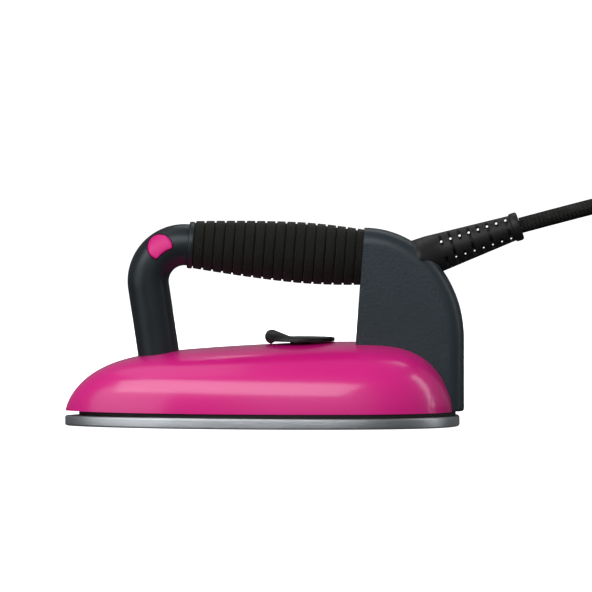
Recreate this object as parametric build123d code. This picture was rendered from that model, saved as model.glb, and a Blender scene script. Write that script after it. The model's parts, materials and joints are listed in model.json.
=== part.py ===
"""Clothes iron of a steam station: a light handpiece with a one-piece bent handle.

Millimetres. The sole rests on z = 0, the nose points to -X, the cord leaves at +X,
and the origin is under the middle of the iron. Left and right are those of a user
who stands behind the heel, so left is -Y. Each function builds one sub-part, and
the table at the end names them.
"""

from math import cos, pi, radians, sin, tan

from build123d import *
import os

# ---------------------------------------------------------------- driving sizes
PLATE_LENGTH = 225.0          # nose to heel of the soleplate
PLATE_WIDTH = 114.0
PLATE_THICK = 6.0
PLATE_ROUND = 1.2             # rounding of the soleplate's rim
HEEL_LENGTH = 81.3            # widest line of the plan to the heel
HEEL_OVERHANG = 2.4           # rear housing past the heel
NOSE_POWER = 0.68             # how full the nose is in plan
HEEL_POWER = 2.5              # how square the heel is in plan, 2 being an ellipse

ISLAND_HEIGHT = 8.0           # raised casting round the heating element
ISLAND_MARGIN = 12.0
ISLAND_NOSE_MARGIN = 24.0
ISLAND_REAR = 45.0            # island's rear face, back from the heel
ELEMENT_RADIUS = 3.2
ELEMENT_FLOOR = 0.8           # metal between the soleplate's top and the element
PORT_RADIUS = 1.25            # steam ports in the sole

SHIELD_THICK = 2.5
SHIELD_NOSE_GAP = 8.0
SHIELD_MARGIN = 1.5

COVER_WALL = 2.2
COVER_CROWN = 39.3            # rim to crown
COVER_NOSE_DROP = 10.0        # how much lower the shoulder is near the nose
COVER_MARGIN = 1.0
COVER_NOSE_GAP = 0.3
COVER_HEEL_GAP = 2.7
CROWN_BEHIND_WIDEST = 14.0    # crown's place behind the plan's widest line

POST_RADIUS = 11.8
CORE_RADIUS = 10.6            # handle tube under the grip sleeve
HANDLE_BORE = 8.5
POST_SETBACK = 58.3           # nose to the post's axis at the cover's rim
POST_LEAN = 8.53              # degrees from upright, forwards
POST_FOOT = 30.0              # height of the post's lower end
BEND_RADIUS = 20.7
GRIP_HEIGHT = 99.7            # grip axis above the sole, in line with the origin
GRIP_SLOPE = 4.3              # degrees, down to the rear
COLLAR_RADIUS = 13.4
COLLAR_WIDTH = 3.2
SLEEVE_FRONT_RADIUS = 13.5
SLEEVE_BELLY_RADIUS = 17.4
SLEEVE_REAR_RADIUS = 15.7
RIB_PITCH = 5.74
RIB_GROOVE = 1.1
RIB_DEPTH = 1.2

HOUSING_WIDTH = 36.0
HOUSING_WALL = 2.5
HOUSING_ROUND = 9.0
HOUSING_DEPTH = 56.7          # front top corner to the rear face
HOUSING_ARC_HEIGHT = 62.6
HOUSING_ABOVE_GRIP = 12.9     # housing's top above the grip's height
HOUSING_HEIGHT = GRIP_HEIGHT + HOUSING_ABOVE_GRIP
HOUSING_SKIRT = 36.0          # height of the front wall's lower end
CORE_ENGAGEMENT = 10.0        # handle tube inside the housing
SOCKET_WALL = 2.6

GUARD_AXIS_DROP = 15.5        # cord axis below the housing's top, where it leaves the housing
GUARD_RISE = 18.3             # degrees
GUARD_FACE_BACK = 19.0        # rear face to where the guard leaves the housing
GUARD_LENGTH = 53.8
GUARD_ROOT_RADIUS = 11.3
GUARD_TIP_RADIUS = 7.4
GUARD_RING_RADIUS = 8.25
GUARD_RING_WIDTH = 5.0
GUARD_FLANGE_RADIUS = 13.0
GUARD_FLANGE_THICK = 3.0
GUARD_FLANGE_DEPTH = 8.0      # flange's outer face, inside the housing
SLOT_COUNT = 8
SLOT_PITCH = 5.25
SLOT_WIDTH = 1.7
SLOT_WEB = 7.0
SIGHT_RADIUS = 0.85           # cross holes through each slot
SIGHT_OFFSET = 5.4            # cross holes above and below the cord's axis
CORD_RADIUS = 4.5

DIAL_RADIUS = 19.7
DIAL_THICK = 2.2
DIAL_AHEAD_OF_CROWN = 23.4
DIAL_GAP = 0.35               # dial's underside above the crown
TAB_HEIGHT = 4.3
TAB_LENGTH = 17.0
TAB_WIDTH = 11.0
HUB_RADIUS = 6.0
SPINDLE_RADIUS = 3.0

BUTTON_RADIUS = 6.8
BUTTON_PROUD = 0.7
BUTTON_OUTSET = 3.2           # button's centre outside the handle's centreline
BUTTON_ANGLE = 127.0          # degrees round the bend's centre, from +X
BUTTON_LIP = 1.1
BUTTON_TRAVEL = 1.2

SEAT_GAP = 0.05               # radial gap of parts that are fixed together
RUN_GAP = 0.07                # radial gap of parts that turn
SLIDE_GAP = 0.15              # gap round the buttons
COVER_GAP = 0.35              # gap where the cover is let out for the handle

# ------------------------------------------------------------- derived places
PLATE_TOP = PLATE_THICK
ISLAND_TOP = PLATE_TOP + ISLAND_HEIGHT
RIM = PLATE_TOP + SHIELD_THICK
REAR_FACE = (PLATE_LENGTH + HEEL_OVERHANG) / 2
HEEL = REAR_FACE - HEEL_OVERHANG
NOSE = HEEL - PLATE_LENGTH
WIDEST = HEEL - HEEL_LENGTH
FRONT_LENGTH = WIDEST - NOSE
CROWN_X = WIDEST + CROWN_BEHIND_WIDEST
DIAL_X = CROWN_X - DIAL_AHEAD_OF_CROWN
DIAL_BOTTOM = RIM + COVER_CROWN + DIAL_GAP
DIAL_TOP = DIAL_BOTTOM + DIAL_THICK
ELEMENT_Z = PLATE_TOP + ELEMENT_FLOOR + ELEMENT_RADIUS
ISLAND_REAR_X = HEEL - ISLAND_REAR

LEAN = tan(radians(POST_LEAN))
SLOPE = tan(radians(GRIP_SLOPE))
HOUSING_FRONT = REAR_FACE - HOUSING_DEPTH
HOUSING_ARC_Z = HOUSING_HEIGHT - HOUSING_ARC_HEIGHT


def post_x(z):
    """X of the post's axis at a height."""
    return NOSE + POST_SETBACK - LEAN * (z - RIM)


def grip_z(x):
    """Height of the grip's axis."""
    return GRIP_HEIGHT - SLOPE * x


def front_face_x(z):
    """X of the housing's front face, which is square to the grip."""
    return HOUSING_FRONT - SLOPE * (HOUSING_HEIGHT - z)


def handle_corner():
    """Where the post's axis and the grip's axis cross."""
    foot = NOSE + POST_SETBACK + LEAN * RIM
    z = (GRIP_HEIGHT - SLOPE * foot) / (1 - SLOPE * LEAN)
    return Vector(foot - LEAN * z, 0, z)


CORNER = handle_corner()
GRIP_DIR = Vector(cos(radians(GRIP_SLOPE)), 0, -sin(radians(GRIP_SLOPE)))
BEND_TRIM = BEND_RADIUS * tan(radians(90 + POST_LEAN + GRIP_SLOPE) / 2)
BEND_END = CORNER + GRIP_DIR * BEND_TRIM
COLLAR_START = BEND_END + GRIP_DIR * 0.5
SLEEVE_START = COLLAR_START + GRIP_DIR * COLLAR_WIDTH
BEND_CENTRE = BEND_END - Vector(-GRIP_DIR.Z, 0, GRIP_DIR.X) * BEND_RADIUS
SLEEVE_LENGTH = (HOUSING_FRONT - SLOPE * (HOUSING_HEIGHT - grip_z(HOUSING_FRONT))
                 - SLEEVE_START.X) / GRIP_DIR.X
SLEEVE_END = SLEEVE_START + GRIP_DIR * SLEEVE_LENGTH
CORE_END = SLEEVE_END + GRIP_DIR * CORE_ENGAGEMENT

GUARD_DIR = Vector(cos(radians(GUARD_RISE)), 0, sin(radians(GUARD_RISE)))
GUARD_UP = Vector(-GUARD_DIR.Z, 0, GUARD_DIR.X)
GUARD_START = Vector(REAR_FACE - GUARD_FACE_BACK, 0, HOUSING_HEIGHT - GUARD_AXIS_DROP)
GUARD_TIP = GUARD_START + GUARD_DIR * GUARD_LENGTH


# ------------------------------------------------------------------ helpers
def rod(start, end, radius):
    """A straight round bar between two points."""
    start, end = Vector(*start), Vector(*end)
    run = end - start
    return extrude(Plane(origin=start, z_dir=run) * Circle(radius), run.length)


def block(low, high):
    """A box between two corners."""
    size = [b - a for a, b in zip(low, high)]
    centre = [(a + b) / 2 for a, b in zip(low, high)]
    return Pos(*centre) * Box(*size)


def tube(points, bends, radius):
    """A round bar that follows straight runs joined by tangent arcs."""
    path = FilletPolyline(*points, radius=bends)
    return sweep(Plane(origin=path @ 0, z_dir=path % 0) * Circle(radius), path=path)


def wire_route(points, radius):
    """An internal lead, each bend as large as its two runs allow."""
    return tube(points, route_radii(points), radius)


def route_radii(points):
    """One arc radius for each corner of a route: 0.45 of the shorter run over tan of half the turn."""
    spots = [Vector(*p) for p in points]
    radii = []
    for before, here, after in zip(spots, spots[1:], spots[2:]):
        inward, outward = here - before, after - here
        half_turn = radians(inward.get_angle(outward)) / 2
        radii.append(0.45 * min(inward.length, outward.length) / tan(half_turn))
    return radii


def turned(profile, origin, direction):
    """A body of revolution: (distance along the axis, radius) points spun about an axis."""
    plane = Plane(origin=origin, x_dir=direction, z_dir=Vector(0, -1, 0))
    return revolve(plane * make_face(Polyline(*profile, close=True)), Axis(origin, direction))


def screw(head, direction, length, radius, head_radius, head_height):
    """A screw with a cylinder head; head is the centre of the head's underside."""
    head, direction = Vector(*head), Vector(*direction)
    shank = rod(head, head + direction * length, radius)
    return shank + rod(head - direction * head_height, head, head_radius)


def group(solids):
    """Separate solids that share one node."""
    return Compound(children=list(solids))


def half_of(solid, side):
    """The part of a solid on one side of the middle plane: side is +1 or -1."""
    reach = 400.0
    low, high = (0, reach) if side > 0 else (-reach, 0)
    return solid & block((-reach, low, -reach), (reach, high, reach))


def plan(front, width, heel):
    """Iron-shaped outline about the widest line: a full nose in front, a squarish ellipse behind."""
    steps = 48
    outline = []
    for i in range(steps):
        across, along = cos(radians(360 * i / steps)), sin(radians(360 * i / steps))
        if along >= 0:
            x, share = WIDEST - front * along, abs(across) ** (2 * NOSE_POWER)
        else:
            x, share = WIDEST + heel * (-along) ** (2 / HEEL_POWER), abs(across) ** (2 / HEEL_POWER)
        outline.append((x, width / 2 * share * (1 if across >= 0 else -1)))
    return make_face(Spline(*outline, periodic=True))


def slab(front, width, heel, low, high):
    """The iron-shaped outline as a plate between two heights."""
    return extrude(Pos(0, 0, low) * plan(front, width, heel), high - low)


# ---------------------------------------------------------- plate and heating
def element_points():
    """Route of the U-shaped heating element, from one rear end round the nose to the other."""
    rear = ISLAND_REAR_X + 10
    half = PLATE_WIDTH / 2
    side = [
        (rear, half - 31),
        (WIDEST - 20, half - 23),
        (WIDEST - 78, half - 33),
    ]
    nose = (NOSE + 22, 0)
    route = side + [nose] + [(x, -y) for x, y in reversed(side)]
    return [(x, y, ELEMENT_Z) for x, y in route]


def element_solid(extra):
    """The element's sheath, grown by a gap where it is used to cut its channel."""
    bends = [60, 60, 14, 60, 60]
    return tube(element_points(), bends, ELEMENT_RADIUS + extra)


CHAMBER_REAR = WIDEST - 32
CHAMBER_FRONT = WIDEST - 64
CHAMBER_DEPTH = ISLAND_HEIGHT - 2.0


def chamber_outline(margin):
    """Plan of the steam chamber between the element's legs."""
    return make_face(Polyline(
        (CHAMBER_REAR + margin, 20 + margin),
        (CHAMBER_FRONT - margin, 13 + margin),
        (CHAMBER_FRONT - margin, -13 - margin),
        (CHAMBER_REAR + margin, -20 - margin),
        close=True,
    ))


def lid_screw_places():
    """Four screws outside the chamber's corners."""
    rear, front = CHAMBER_REAR + 2.5, CHAMBER_FRONT - 2.5
    return [(rear, 22.3), (rear, -22.3), (front, 15.3), (front, -15.3)]


PILLAR_X = post_x(ISLAND_TOP)
PILLAR_SCREW_SPREAD = 10.5
PILLAR_FLANGE = 14.0
THERMOSTAT_SCREW_SPREAD = 15.0
THERMOSTAT_RADIUS = 11.0
BRACKET_FRONT = HEEL - 27.0
BRACKET_LENGTH = 20.0
BRACKET_WIDTH = 24.0
BRACKET_THICK = 3.0


def bracket_screw_places():
    """Two screws of the rear bracket, one each side of its upright."""
    x = BRACKET_FRONT + BRACKET_LENGTH / 2
    return [(x, 7.5), (x, -7.5)]


SHIELD_SCREW_FRONT = (WIDEST - 90, PLATE_WIDTH / 2 - 24.5)
SHIELD_SCREW_REAR = (WIDEST + 30, PLATE_WIDTH / 2 - 9.8)


def shield_screw_places():
    """Four screws that hold the shield to the cover's bosses."""
    return [(x, side * y) for x, y in (SHIELD_SCREW_FRONT, SHIELD_SCREW_REAR) for side in (1, -1)]


def steam_ports():
    """Holes of the sole under the steam chamber, in rows that widen to the rear."""
    ports = []
    for row in range(5):
        x = CHAMBER_FRONT + 5 + row * (CHAMBER_REAR - CHAMBER_FRONT - 10) / 4
        reach = 10 + 1.4 * row
        for place in (-1, -0.5, 0, 0.5, 1):
            ports.append(rod((x, place * reach, -1), (x, place * reach, ISLAND_TOP), PORT_RADIUS))
    return ports


def soleplate():
    """Pressed sole with a cast island that carries the element and the steam chamber."""
    plate = slab(FRONT_LENGTH, PLATE_WIDTH, HEEL_LENGTH, 0, PLATE_THICK)
    rims = plate.edges().filter_by(lambda e: abs(e.center().Z - PLATE_THICK / 2) > PLATE_THICK / 2 - 0.01)
    plate = fillet(rims, PLATE_ROUND)
    island = slab(
        FRONT_LENGTH - ISLAND_NOSE_MARGIN, PLATE_WIDTH - 2 * ISLAND_MARGIN,
        HEEL_LENGTH - 1.5 * ISLAND_MARGIN, PLATE_TOP, ISLAND_TOP,
    )
    island &= block((-400, -200, PLATE_TOP), (ISLAND_REAR_X, 200, ISLAND_TOP))
    body = plate + island
    body -= element_solid(SEAT_GAP)
    body -= extrude(Pos(0, 0, ISLAND_TOP - CHAMBER_DEPTH) * chamber_outline(0), CHAMBER_DEPTH)
    for port in steam_ports():
        body -= port
    for x, y in lid_screw_places():
        body -= rod((x, y, ISLAND_TOP - 5), (x, y, ISLAND_TOP), 1.5 + SEAT_GAP)
    for side in (1, -1):
        y = side * PILLAR_SCREW_SPREAD
        body -= rod((PILLAR_X, y, ISLAND_TOP - 6), (PILLAR_X, y, ISLAND_TOP), 2 + SEAT_GAP)
        y = side * THERMOSTAT_SCREW_SPREAD
        body -= rod((DIAL_X, y, ISLAND_TOP - 5), (DIAL_X, y, ISLAND_TOP), 1.5 + SEAT_GAP)
    for x, y in bracket_screw_places():
        body -= rod((x, y, PLATE_TOP - 4), (x, y, PLATE_TOP), 2 + SEAT_GAP)
    return body


def heating_element():
    """Sheathed element, cast into the island and open at its two rear ends."""
    return element_solid(0)


def element_pins():
    """Cold pins and upright tabs at the element's two ends, in line with its legs."""
    end, before = (Vector(*point) for point in element_points()[:2])
    outward = (end - before).normalized()
    tip = end + outward * 6
    pins = []
    for side in (1, -1):
        pin = rod((end.X, side * end.Y, end.Z), (tip.X, side * tip.Y, tip.Z), 1.6)
        low, high = (tip.X - 1, side * tip.Y - 0.4, tip.Z - 1.5), (tip.X + 5.3, side * tip.Y + 0.4, tip.Z + 9)
        pins.append(pin + block(low, high))
    return group(pins)


def tab_top():
    """Middle of the right tab's upper edge."""
    end, before = (Vector(*point) for point in element_points()[:2])
    return end + (end - before).normalized() * 6 + Vector(2.2, 0, 9)


GASKET_THICK = 0.8
LID_THICK = 2.5
LID_TOP = ISLAND_TOP + GASKET_THICK + LID_THICK
INLET = (CHAMBER_REAR - 9, 13.5)


def drilled_for_lid(plate_solid):
    """Clearance holes of the lid's screws and steam inlet."""
    for x, y in lid_screw_places():
        plate_solid -= rod((x, y, ISLAND_TOP - 1), (x, y, LID_TOP + 1), 1.5 + SEAT_GAP)
    return plate_solid - rod((*INLET, ISLAND_TOP - 1), (*INLET, LID_TOP + 1), 3 + SEAT_GAP)


def chamber_gasket():
    """Flat seal between the island and the lid."""
    ring = chamber_outline(5) - chamber_outline(0)
    seal = extrude(Pos(0, 0, ISLAND_TOP) * ring, GASKET_THICK)
    for x, y in lid_screw_places():
        seal -= rod((x, y, ISLAND_TOP - 1), (x, y, LID_TOP), 1.5 + SEAT_GAP)
    return seal


def chamber_lid():
    """Lid of the steam chamber."""
    return drilled_for_lid(extrude(Pos(0, 0, ISLAND_TOP + GASKET_THICK) * chamber_outline(5), LID_THICK))


def lid_screws():
    """Four screws of the lid."""
    return group(
        screw((x, y, LID_TOP), (0, 0, -1), LID_THICK + GASKET_THICK + 4.5, 1.5, 2.8, 1.8)
        for x, y in lid_screw_places()
    )


def steam_inlet():
    """Brass elbow that feeds the chamber, with a spigot for the pipe."""
    x, y = INLET
    body = rod((x, y, ISLAND_TOP + 0.5), (x, y, LID_TOP), 3)
    body += rod((x, y, LID_TOP), (x, y, LID_TOP + 8), 4)
    body += rod((x, y, LID_TOP + 4), (x + 12, y, LID_TOP + 4), 1.6)
    return body


def heat_shield():
    """Black insulating ring between the hot plate and the cover."""
    ring = slab(
        FRONT_LENGTH - SHIELD_NOSE_GAP, PLATE_WIDTH - 2 * SHIELD_MARGIN,
        HEEL_LENGTH - 1.5 * SHIELD_MARGIN, PLATE_TOP, RIM,
    )
    ring -= slab(
        FRONT_LENGTH - ISLAND_NOSE_MARGIN + 2, PLATE_WIDTH - 2 * ISLAND_MARGIN + 4,
        HEEL_LENGTH - 1.5 * ISLAND_MARGIN + 2, PLATE_TOP - 1, RIM + 1,
    )
    half = BRACKET_WIDTH / 2 + 0.5
    ring -= block(
        (BRACKET_FRONT - 6, -half, PLATE_TOP - 1), (BRACKET_FRONT + BRACKET_LENGTH + 0.5, half, RIM + 1),
    )
    for x, y in shield_screw_places():
        ring -= rod((x, y, PLATE_TOP - 1), (x, y, RIM + 1), 1.5 + SEAT_GAP)
        ring -= rod((x, y, PLATE_TOP - 1), (x, y, PLATE_TOP + 1.6), 3 + SEAT_GAP)
    return ring


def shield_screws():
    """Four flat screws from under the shield into the cover."""
    return group(
        screw((x, y, PLATE_TOP + 1.6), (0, 0, 1), 11, 1.5, 3, 1.4) for x, y in shield_screw_places()
    )


# ------------------------------------------------------------------- cover
COVER_NOSE = FRONT_LENGTH - COVER_NOSE_GAP + CROWN_BEHIND_WIDEST
COVER_TAIL = HEEL_LENGTH - COVER_HEEL_GAP - CROWN_BEHIND_WIDEST
SECTION_POWER = 2.4           # how square the cover's cross-section is


def cover_height(x, inset):
    """Height of the cover's middle line above its rim: a long sloping shoulder, a blunt tail."""
    if x < CROWN_X:
        u = min(1.0, (CROWN_X - x) / (COVER_NOSE - inset))
        return (COVER_CROWN - inset - COVER_NOSE_DROP * u ** 1.5) * (1 - u ** 8.25) ** (1 / 1.5)
    u = min(1.0, (x - CROWN_X) / (COVER_TAIL - inset))
    return (COVER_CROWN - inset) * (1 - u ** 4.15) ** (1 / 1.5)


def cover_half_width(x, inset):
    """Half width of the cover at its rim, the soleplate's plan drawn in."""
    half = PLATE_WIDTH / 2 - COVER_MARGIN - inset
    if x < WIDEST:
        u = min(1.0, (WIDEST - x) / (FRONT_LENGTH - COVER_NOSE_GAP - inset))
        return half * (1 - u * u) ** NOSE_POWER
    u = min(1.0, (x - WIDEST) / (HEEL_LENGTH - COVER_HEEL_GAP - inset))
    return half * (1 - u ** HEEL_POWER) ** (1 / HEEL_POWER)


def reach_at(level, inset, direction):
    """How far the cover reaches fore (-1) or aft (+1) at a height above its rim, by halving."""
    length = COVER_NOSE - inset if direction < 0 else COVER_TAIL - inset
    near, far = 0.0, length
    for _ in range(40):
        middle = (near + far) / 2
        if cover_height(CROWN_X + direction * middle, inset) > level:
            near = middle
        else:
            far = middle
    return CROWN_X + direction * near


def cover_section(level, inset):
    """Closed outline of the cover at one height above its rim."""
    fore, aft = reach_at(level, inset, -1), reach_at(level, inset, 1)
    steps = 18
    side = []
    for i in range(1, steps):
        x = (fore + aft) / 2 - (aft - fore) / 2 * cos(radians(180 * i / steps))
        share = min(1.0, level / max(cover_height(x, inset), level, 1e-9))
        y = cover_half_width(x, inset) * (1 - share ** SECTION_POWER) ** (1 / SECTION_POWER)
        side.append((x, max(y, 0.05)))
    outline = [(fore, 0)] + side + [(aft, 0)] + [(x, -y) for x, y in reversed(side)]
    return Pos(0, 0, RIM + level) * make_face(Spline(*outline, periodic=True))


def dome(inset):
    """The cover as a solid, from stacked horizontal outlines."""
    crown = COVER_CROWN - inset
    shares = [0, 0.1, 0.25, 0.42, 0.58, 0.7, 0.79, 0.86, 0.915, 0.955, 0.98, 0.995]
    return loft([cover_section(share * crown, inset) for share in shares])


def cover_bosses():
    """Screw bosses with ribs out to the cover's wall."""
    bosses = []
    for x, y in shield_screw_places():
        outward = 1 if y > 0 else -1
        boss = rod((x, y, RIM), (x, y, RIM + 12), 3.3)
        low, high = sorted((y, y + outward * 14))
        bosses.append(boss + block((x - 1, low, RIM), (x + 1, high, RIM + 10)))
    return bosses


def cover():
    """Glossy shell over the hot parts, let out for the post, the dial and the rear housing."""
    outer, inner = dome(0), dome(COVER_WALL)
    shell = outer - inner
    for boss in cover_bosses():
        shell += boss & outer
    for x, y in shield_screw_places():
        shell -= rod((x, y, RIM - 1), (x, y, RIM + 11.5), 1.5 + SEAT_GAP)
    shell -= rod((post_x(10), 0, 10), (post_x(70), 0, 70), POST_RADIUS + COVER_GAP)
    shell -= rod((DIAL_X, 0, ISLAND_TOP), (DIAL_X, 0, DIAL_TOP), HUB_RADIUS + RUN_GAP)
    shell -= housing_block(-COVER_GAP, False)
    return shell


# --------------------------------------------------------- temperature control
def thermostat_body():
    """Bimetal thermostat on the island, with a bearing for its spindle."""
    body = rod((DIAL_X, 0, ISLAND_TOP), (DIAL_X, 0, ISLAND_TOP + 9), THERMOSTAT_RADIUS)
    body += block((DIAL_X - 5, -19, ISLAND_TOP), (DIAL_X + 5, 19, ISLAND_TOP + 1.5))
    body += rod((DIAL_X, 0, ISLAND_TOP + 9), (DIAL_X, 0, ISLAND_TOP + 13), 5)
    body -= rod((DIAL_X, 0, ISLAND_TOP + 3), (DIAL_X, 0, ISLAND_TOP + 14), SPINDLE_RADIUS + RUN_GAP)
    for side in (1, -1):
        y = side * THERMOSTAT_SCREW_SPREAD
        body -= rod((DIAL_X, y, ISLAND_TOP - 1), (DIAL_X, y, ISLAND_TOP + 3), 1.5 + SEAT_GAP)
    return body


def thermostat_screws():
    """Two screws of the thermostat's strap."""
    return group(
        screw((DIAL_X, side * THERMOSTAT_SCREW_SPREAD, ISLAND_TOP + 1.5), (0, 0, -1), 6, 1.5, 2.8, 1.8)
        for side in (1, -1)
    )


def thermostat_spindle():
    """Shaft from the thermostat up into the dial's hub."""
    return rod((DIAL_X, 0, ISLAND_TOP + 3.2), (DIAL_X, 0, DIAL_BOTTOM + 0.5), SPINDLE_RADIUS)


HUB_BOTTOM = RIM + COVER_CROWN - COVER_WALL - 3.6


def temperature_dial():
    """Thin dial under the handle, with a finger tab at its front rim and a hub below."""
    disc = rod((DIAL_X, 0, DIAL_BOTTOM), (DIAL_X, 0, DIAL_TOP), DIAL_RADIUS)
    top = disc.edges().filter_by(lambda e: abs(e.center().Z - DIAL_TOP) < 0.01)
    disc = fillet(top, 0.45 * DIAL_THICK)
    front = DIAL_X - DIAL_RADIUS
    lift = DIAL_TOP + TAB_HEIGHT
    outline = Plane.XZ * make_face([
        Spline((front + 0.2, DIAL_BOTTOM + 1.0), (front + 0.9, lift - 1.6), (front + 5.4, lift),
               tangents=[(-0.2, 1), (1, 0.05)]),
        Polyline((front + 5.4, lift), (front + TAB_LENGTH, DIAL_TOP - 0.4),
                 (front + TAB_LENGTH, DIAL_BOTTOM + 1.0), (front + 0.2, DIAL_BOTTOM + 1.0)),
    ])
    tab = extrude(outline, TAB_WIDTH / 2, both=True)
    dial = disc + tab
    dial += rod((DIAL_X, 0, HUB_BOTTOM), (DIAL_X, 0, DIAL_BOTTOM), HUB_RADIUS)
    dial -= rod((DIAL_X, 0, HUB_BOTTOM - 1), (DIAL_X, 0, DIAL_BOTTOM + 0.55), SPINDLE_RADIUS + SEAT_GAP)
    return dial


def dial_retainer():
    """Spring ring that keeps the dial's hub in the cover."""
    ring = rod((DIAL_X, 0, HUB_BOTTOM + 0.2), (DIAL_X, 0, HUB_BOTTOM + 1.2), HUB_RADIUS + 2)
    return ring - rod((DIAL_X, 0, HUB_BOTTOM - 1), (DIAL_X, 0, HUB_BOTTOM + 2), HUB_RADIUS + SEAT_GAP)


FUSE_X = DIAL_X + 26.0
FUSE_Z = ISLAND_TOP + 3.2


def thermal_fuse():
    """Safety fuse lying across the island behind the thermostat."""
    return rod((FUSE_X, -9, FUSE_Z), (FUSE_X, 9, FUSE_Z), 2.4)


def fuse_clip():
    """Saddle that presses the fuse to the island."""
    clip = block((FUSE_X - 4, -4, ISLAND_TOP), (FUSE_X + 4, 4, ISLAND_TOP + 7))
    return clip - rod((FUSE_X, -10, FUSE_Z), (FUSE_X, 10, FUSE_Z), 2.4 + SEAT_GAP)


# ------------------------------------------------------------------ handle
HANDLE_SCREWS_ALONG = (22.0, 74.0)     # along the sleeve, under it
POST_SCREW_Z = 36.0
HEAD_SEAT = HANDLE_BORE + 0.1           # where the cross screws' heads bear


def handle_path():
    """Centreline corners of the handle, from the post's foot to the tube's end in the housing."""
    return [(post_x(POST_FOOT), 0, POST_FOOT), tuple(CORNER), tuple(CORE_END)]


def handle_screw_axes():
    """Centre points of the cross screws of the handle."""
    under_sleeve = [SLEEVE_START + GRIP_DIR * s for s in HANDLE_SCREWS_ALONG]
    return under_sleeve + [Vector(post_x(POST_SCREW_Z), 0, POST_SCREW_Z)]


def bend_tube(radius):
    """A bar that follows only the post and the bend, for shaping the buttons."""
    return tube([handle_path()[0], tuple(CORNER), tuple(BEND_END + GRIP_DIR * 3)], [BEND_RADIUS], radius)


def button_centre():
    """Centre of the buttons on the bend, in side view."""
    out = Vector(cos(radians(BUTTON_ANGLE)), 0, sin(radians(BUTTON_ANGLE)))
    return BEND_CENTRE + out * (BEND_RADIUS + BUTTON_OUTSET)


def button_prism(grow):
    """Side outline of the buttons, a disc with its inner edge trimmed round, across the handle."""
    centre = button_centre()
    disc = rod((centre.X, -20, centre.Z), (centre.X, 20, centre.Z), BUTTON_RADIUS + grow)
    inner = rod(
        (BEND_CENTRE.X, -21, BEND_CENTRE.Z), (BEND_CENTRE.X, 21, BEND_CENTRE.Z), BEND_RADIUS - 0.6 - grow,
    )
    return disc - inner


def handle_shell():
    """The whole bent handle tube, before it is parted down the middle."""
    core = tube(handle_path(), [BEND_RADIUS], CORE_RADIUS)
    front = tube([handle_path()[0], tuple(CORNER), tuple(COLLAR_START)], [BEND_RADIUS], POST_RADIUS)
    shell = core + front - tube(handle_path(), [BEND_RADIUS], HANDLE_BORE)
    for centre in handle_screw_axes():
        bosses = rod((centre.X, -8.8, centre.Z), (centre.X, 8.8, centre.Z), 3.2)
        if centre.Z > POST_SCREW_Z + 1:
            shell += bosses
        shell -= rod((centre.X, -12, centre.Z), (centre.X, 12, centre.Z), 1.4 + SEAT_GAP)
        shell -= rod((centre.X, HEAD_SEAT, centre.Z), (centre.X, 14, centre.Z), 2.6 + SEAT_GAP)
    shell -= button_prism(SLIDE_GAP)
    return shell


def handle_half(side):
    """One moulded half of the handle."""
    return half_of(handle_shell(), side)


def handle_screws():
    """Cross screws that clamp the handle's halves."""
    return group(
        screw((c.X, HEAD_SEAT, c.Z), (0, -1, 0), 16.5, 1.4, 2.6, 1.6) for c in handle_screw_axes()
    )


def front_pillar():
    """Pillar on the island that the post is clamped round."""
    top = 60.0
    pillar = rod((PILLAR_X + LEAN * 6, 0, ISLAND_TOP - 6), (post_x(top), 0, top), HANDLE_BORE - SEAT_GAP)
    pillar &= block((-200, -50, ISLAND_TOP), (0, 50, top + 9))
    pillar += rod((PILLAR_X, 0, ISLAND_TOP), (PILLAR_X, 0, ISLAND_TOP + 3), PILLAR_FLANGE)
    for side in (1, -1):
        y = side * PILLAR_SCREW_SPREAD
        pillar -= rod((PILLAR_X, y, ISLAND_TOP - 1), (PILLAR_X, y, ISLAND_TOP + 3), 2 + SEAT_GAP)
        pillar -= rod((PILLAR_X, y, ISLAND_TOP + 3), (PILLAR_X, y, ISLAND_TOP + 9), 3.4 + SEAT_GAP)
    centre = Vector(post_x(POST_SCREW_Z), 0, POST_SCREW_Z)
    pillar -= rod((centre.X, -12, centre.Z), (centre.X, 12, centre.Z), 1.4 + SEAT_GAP)
    return pillar


def pillar_screws():
    """Two screws of the pillar's foot."""
    return group(
        screw((PILLAR_X, side * PILLAR_SCREW_SPREAD, ISLAND_TOP + 3), (0, 0, -1), 8.5, 2, 3.3, 2.2)
        for side in (1, -1)
    )


def grip_collar():
    """Smooth ring between the bend and the grip sleeve."""
    ring = rod(COLLAR_START, SLEEVE_START, COLLAR_RADIUS)
    rims = ring.edges().filter_by(GeomType.CIRCLE)
    ring = fillet(rims, 0.7)
    return ring - rod(COLLAR_START - GRIP_DIR, SLEEVE_START + GRIP_DIR, CORE_RADIUS + SEAT_GAP)


def sleeve_radius(share):
    """Radius of the grip along its length: slim in front, a belly past the middle, slimmer behind."""
    belly = 0.64
    end = SLEEVE_FRONT_RADIUS if share < belly else SLEEVE_REAR_RADIUS
    span = belly if share < belly else 1.35 * (1 - belly)
    u = min(1.0, abs(share - belly) / span)
    drop = u ** 1.5 if share < belly else u ** 2
    reach = 1.0 if share < belly else 1.35 ** 2
    return SLEEVE_BELLY_RADIUS - (SLEEVE_BELLY_RADIUS - end) * drop * reach


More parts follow.
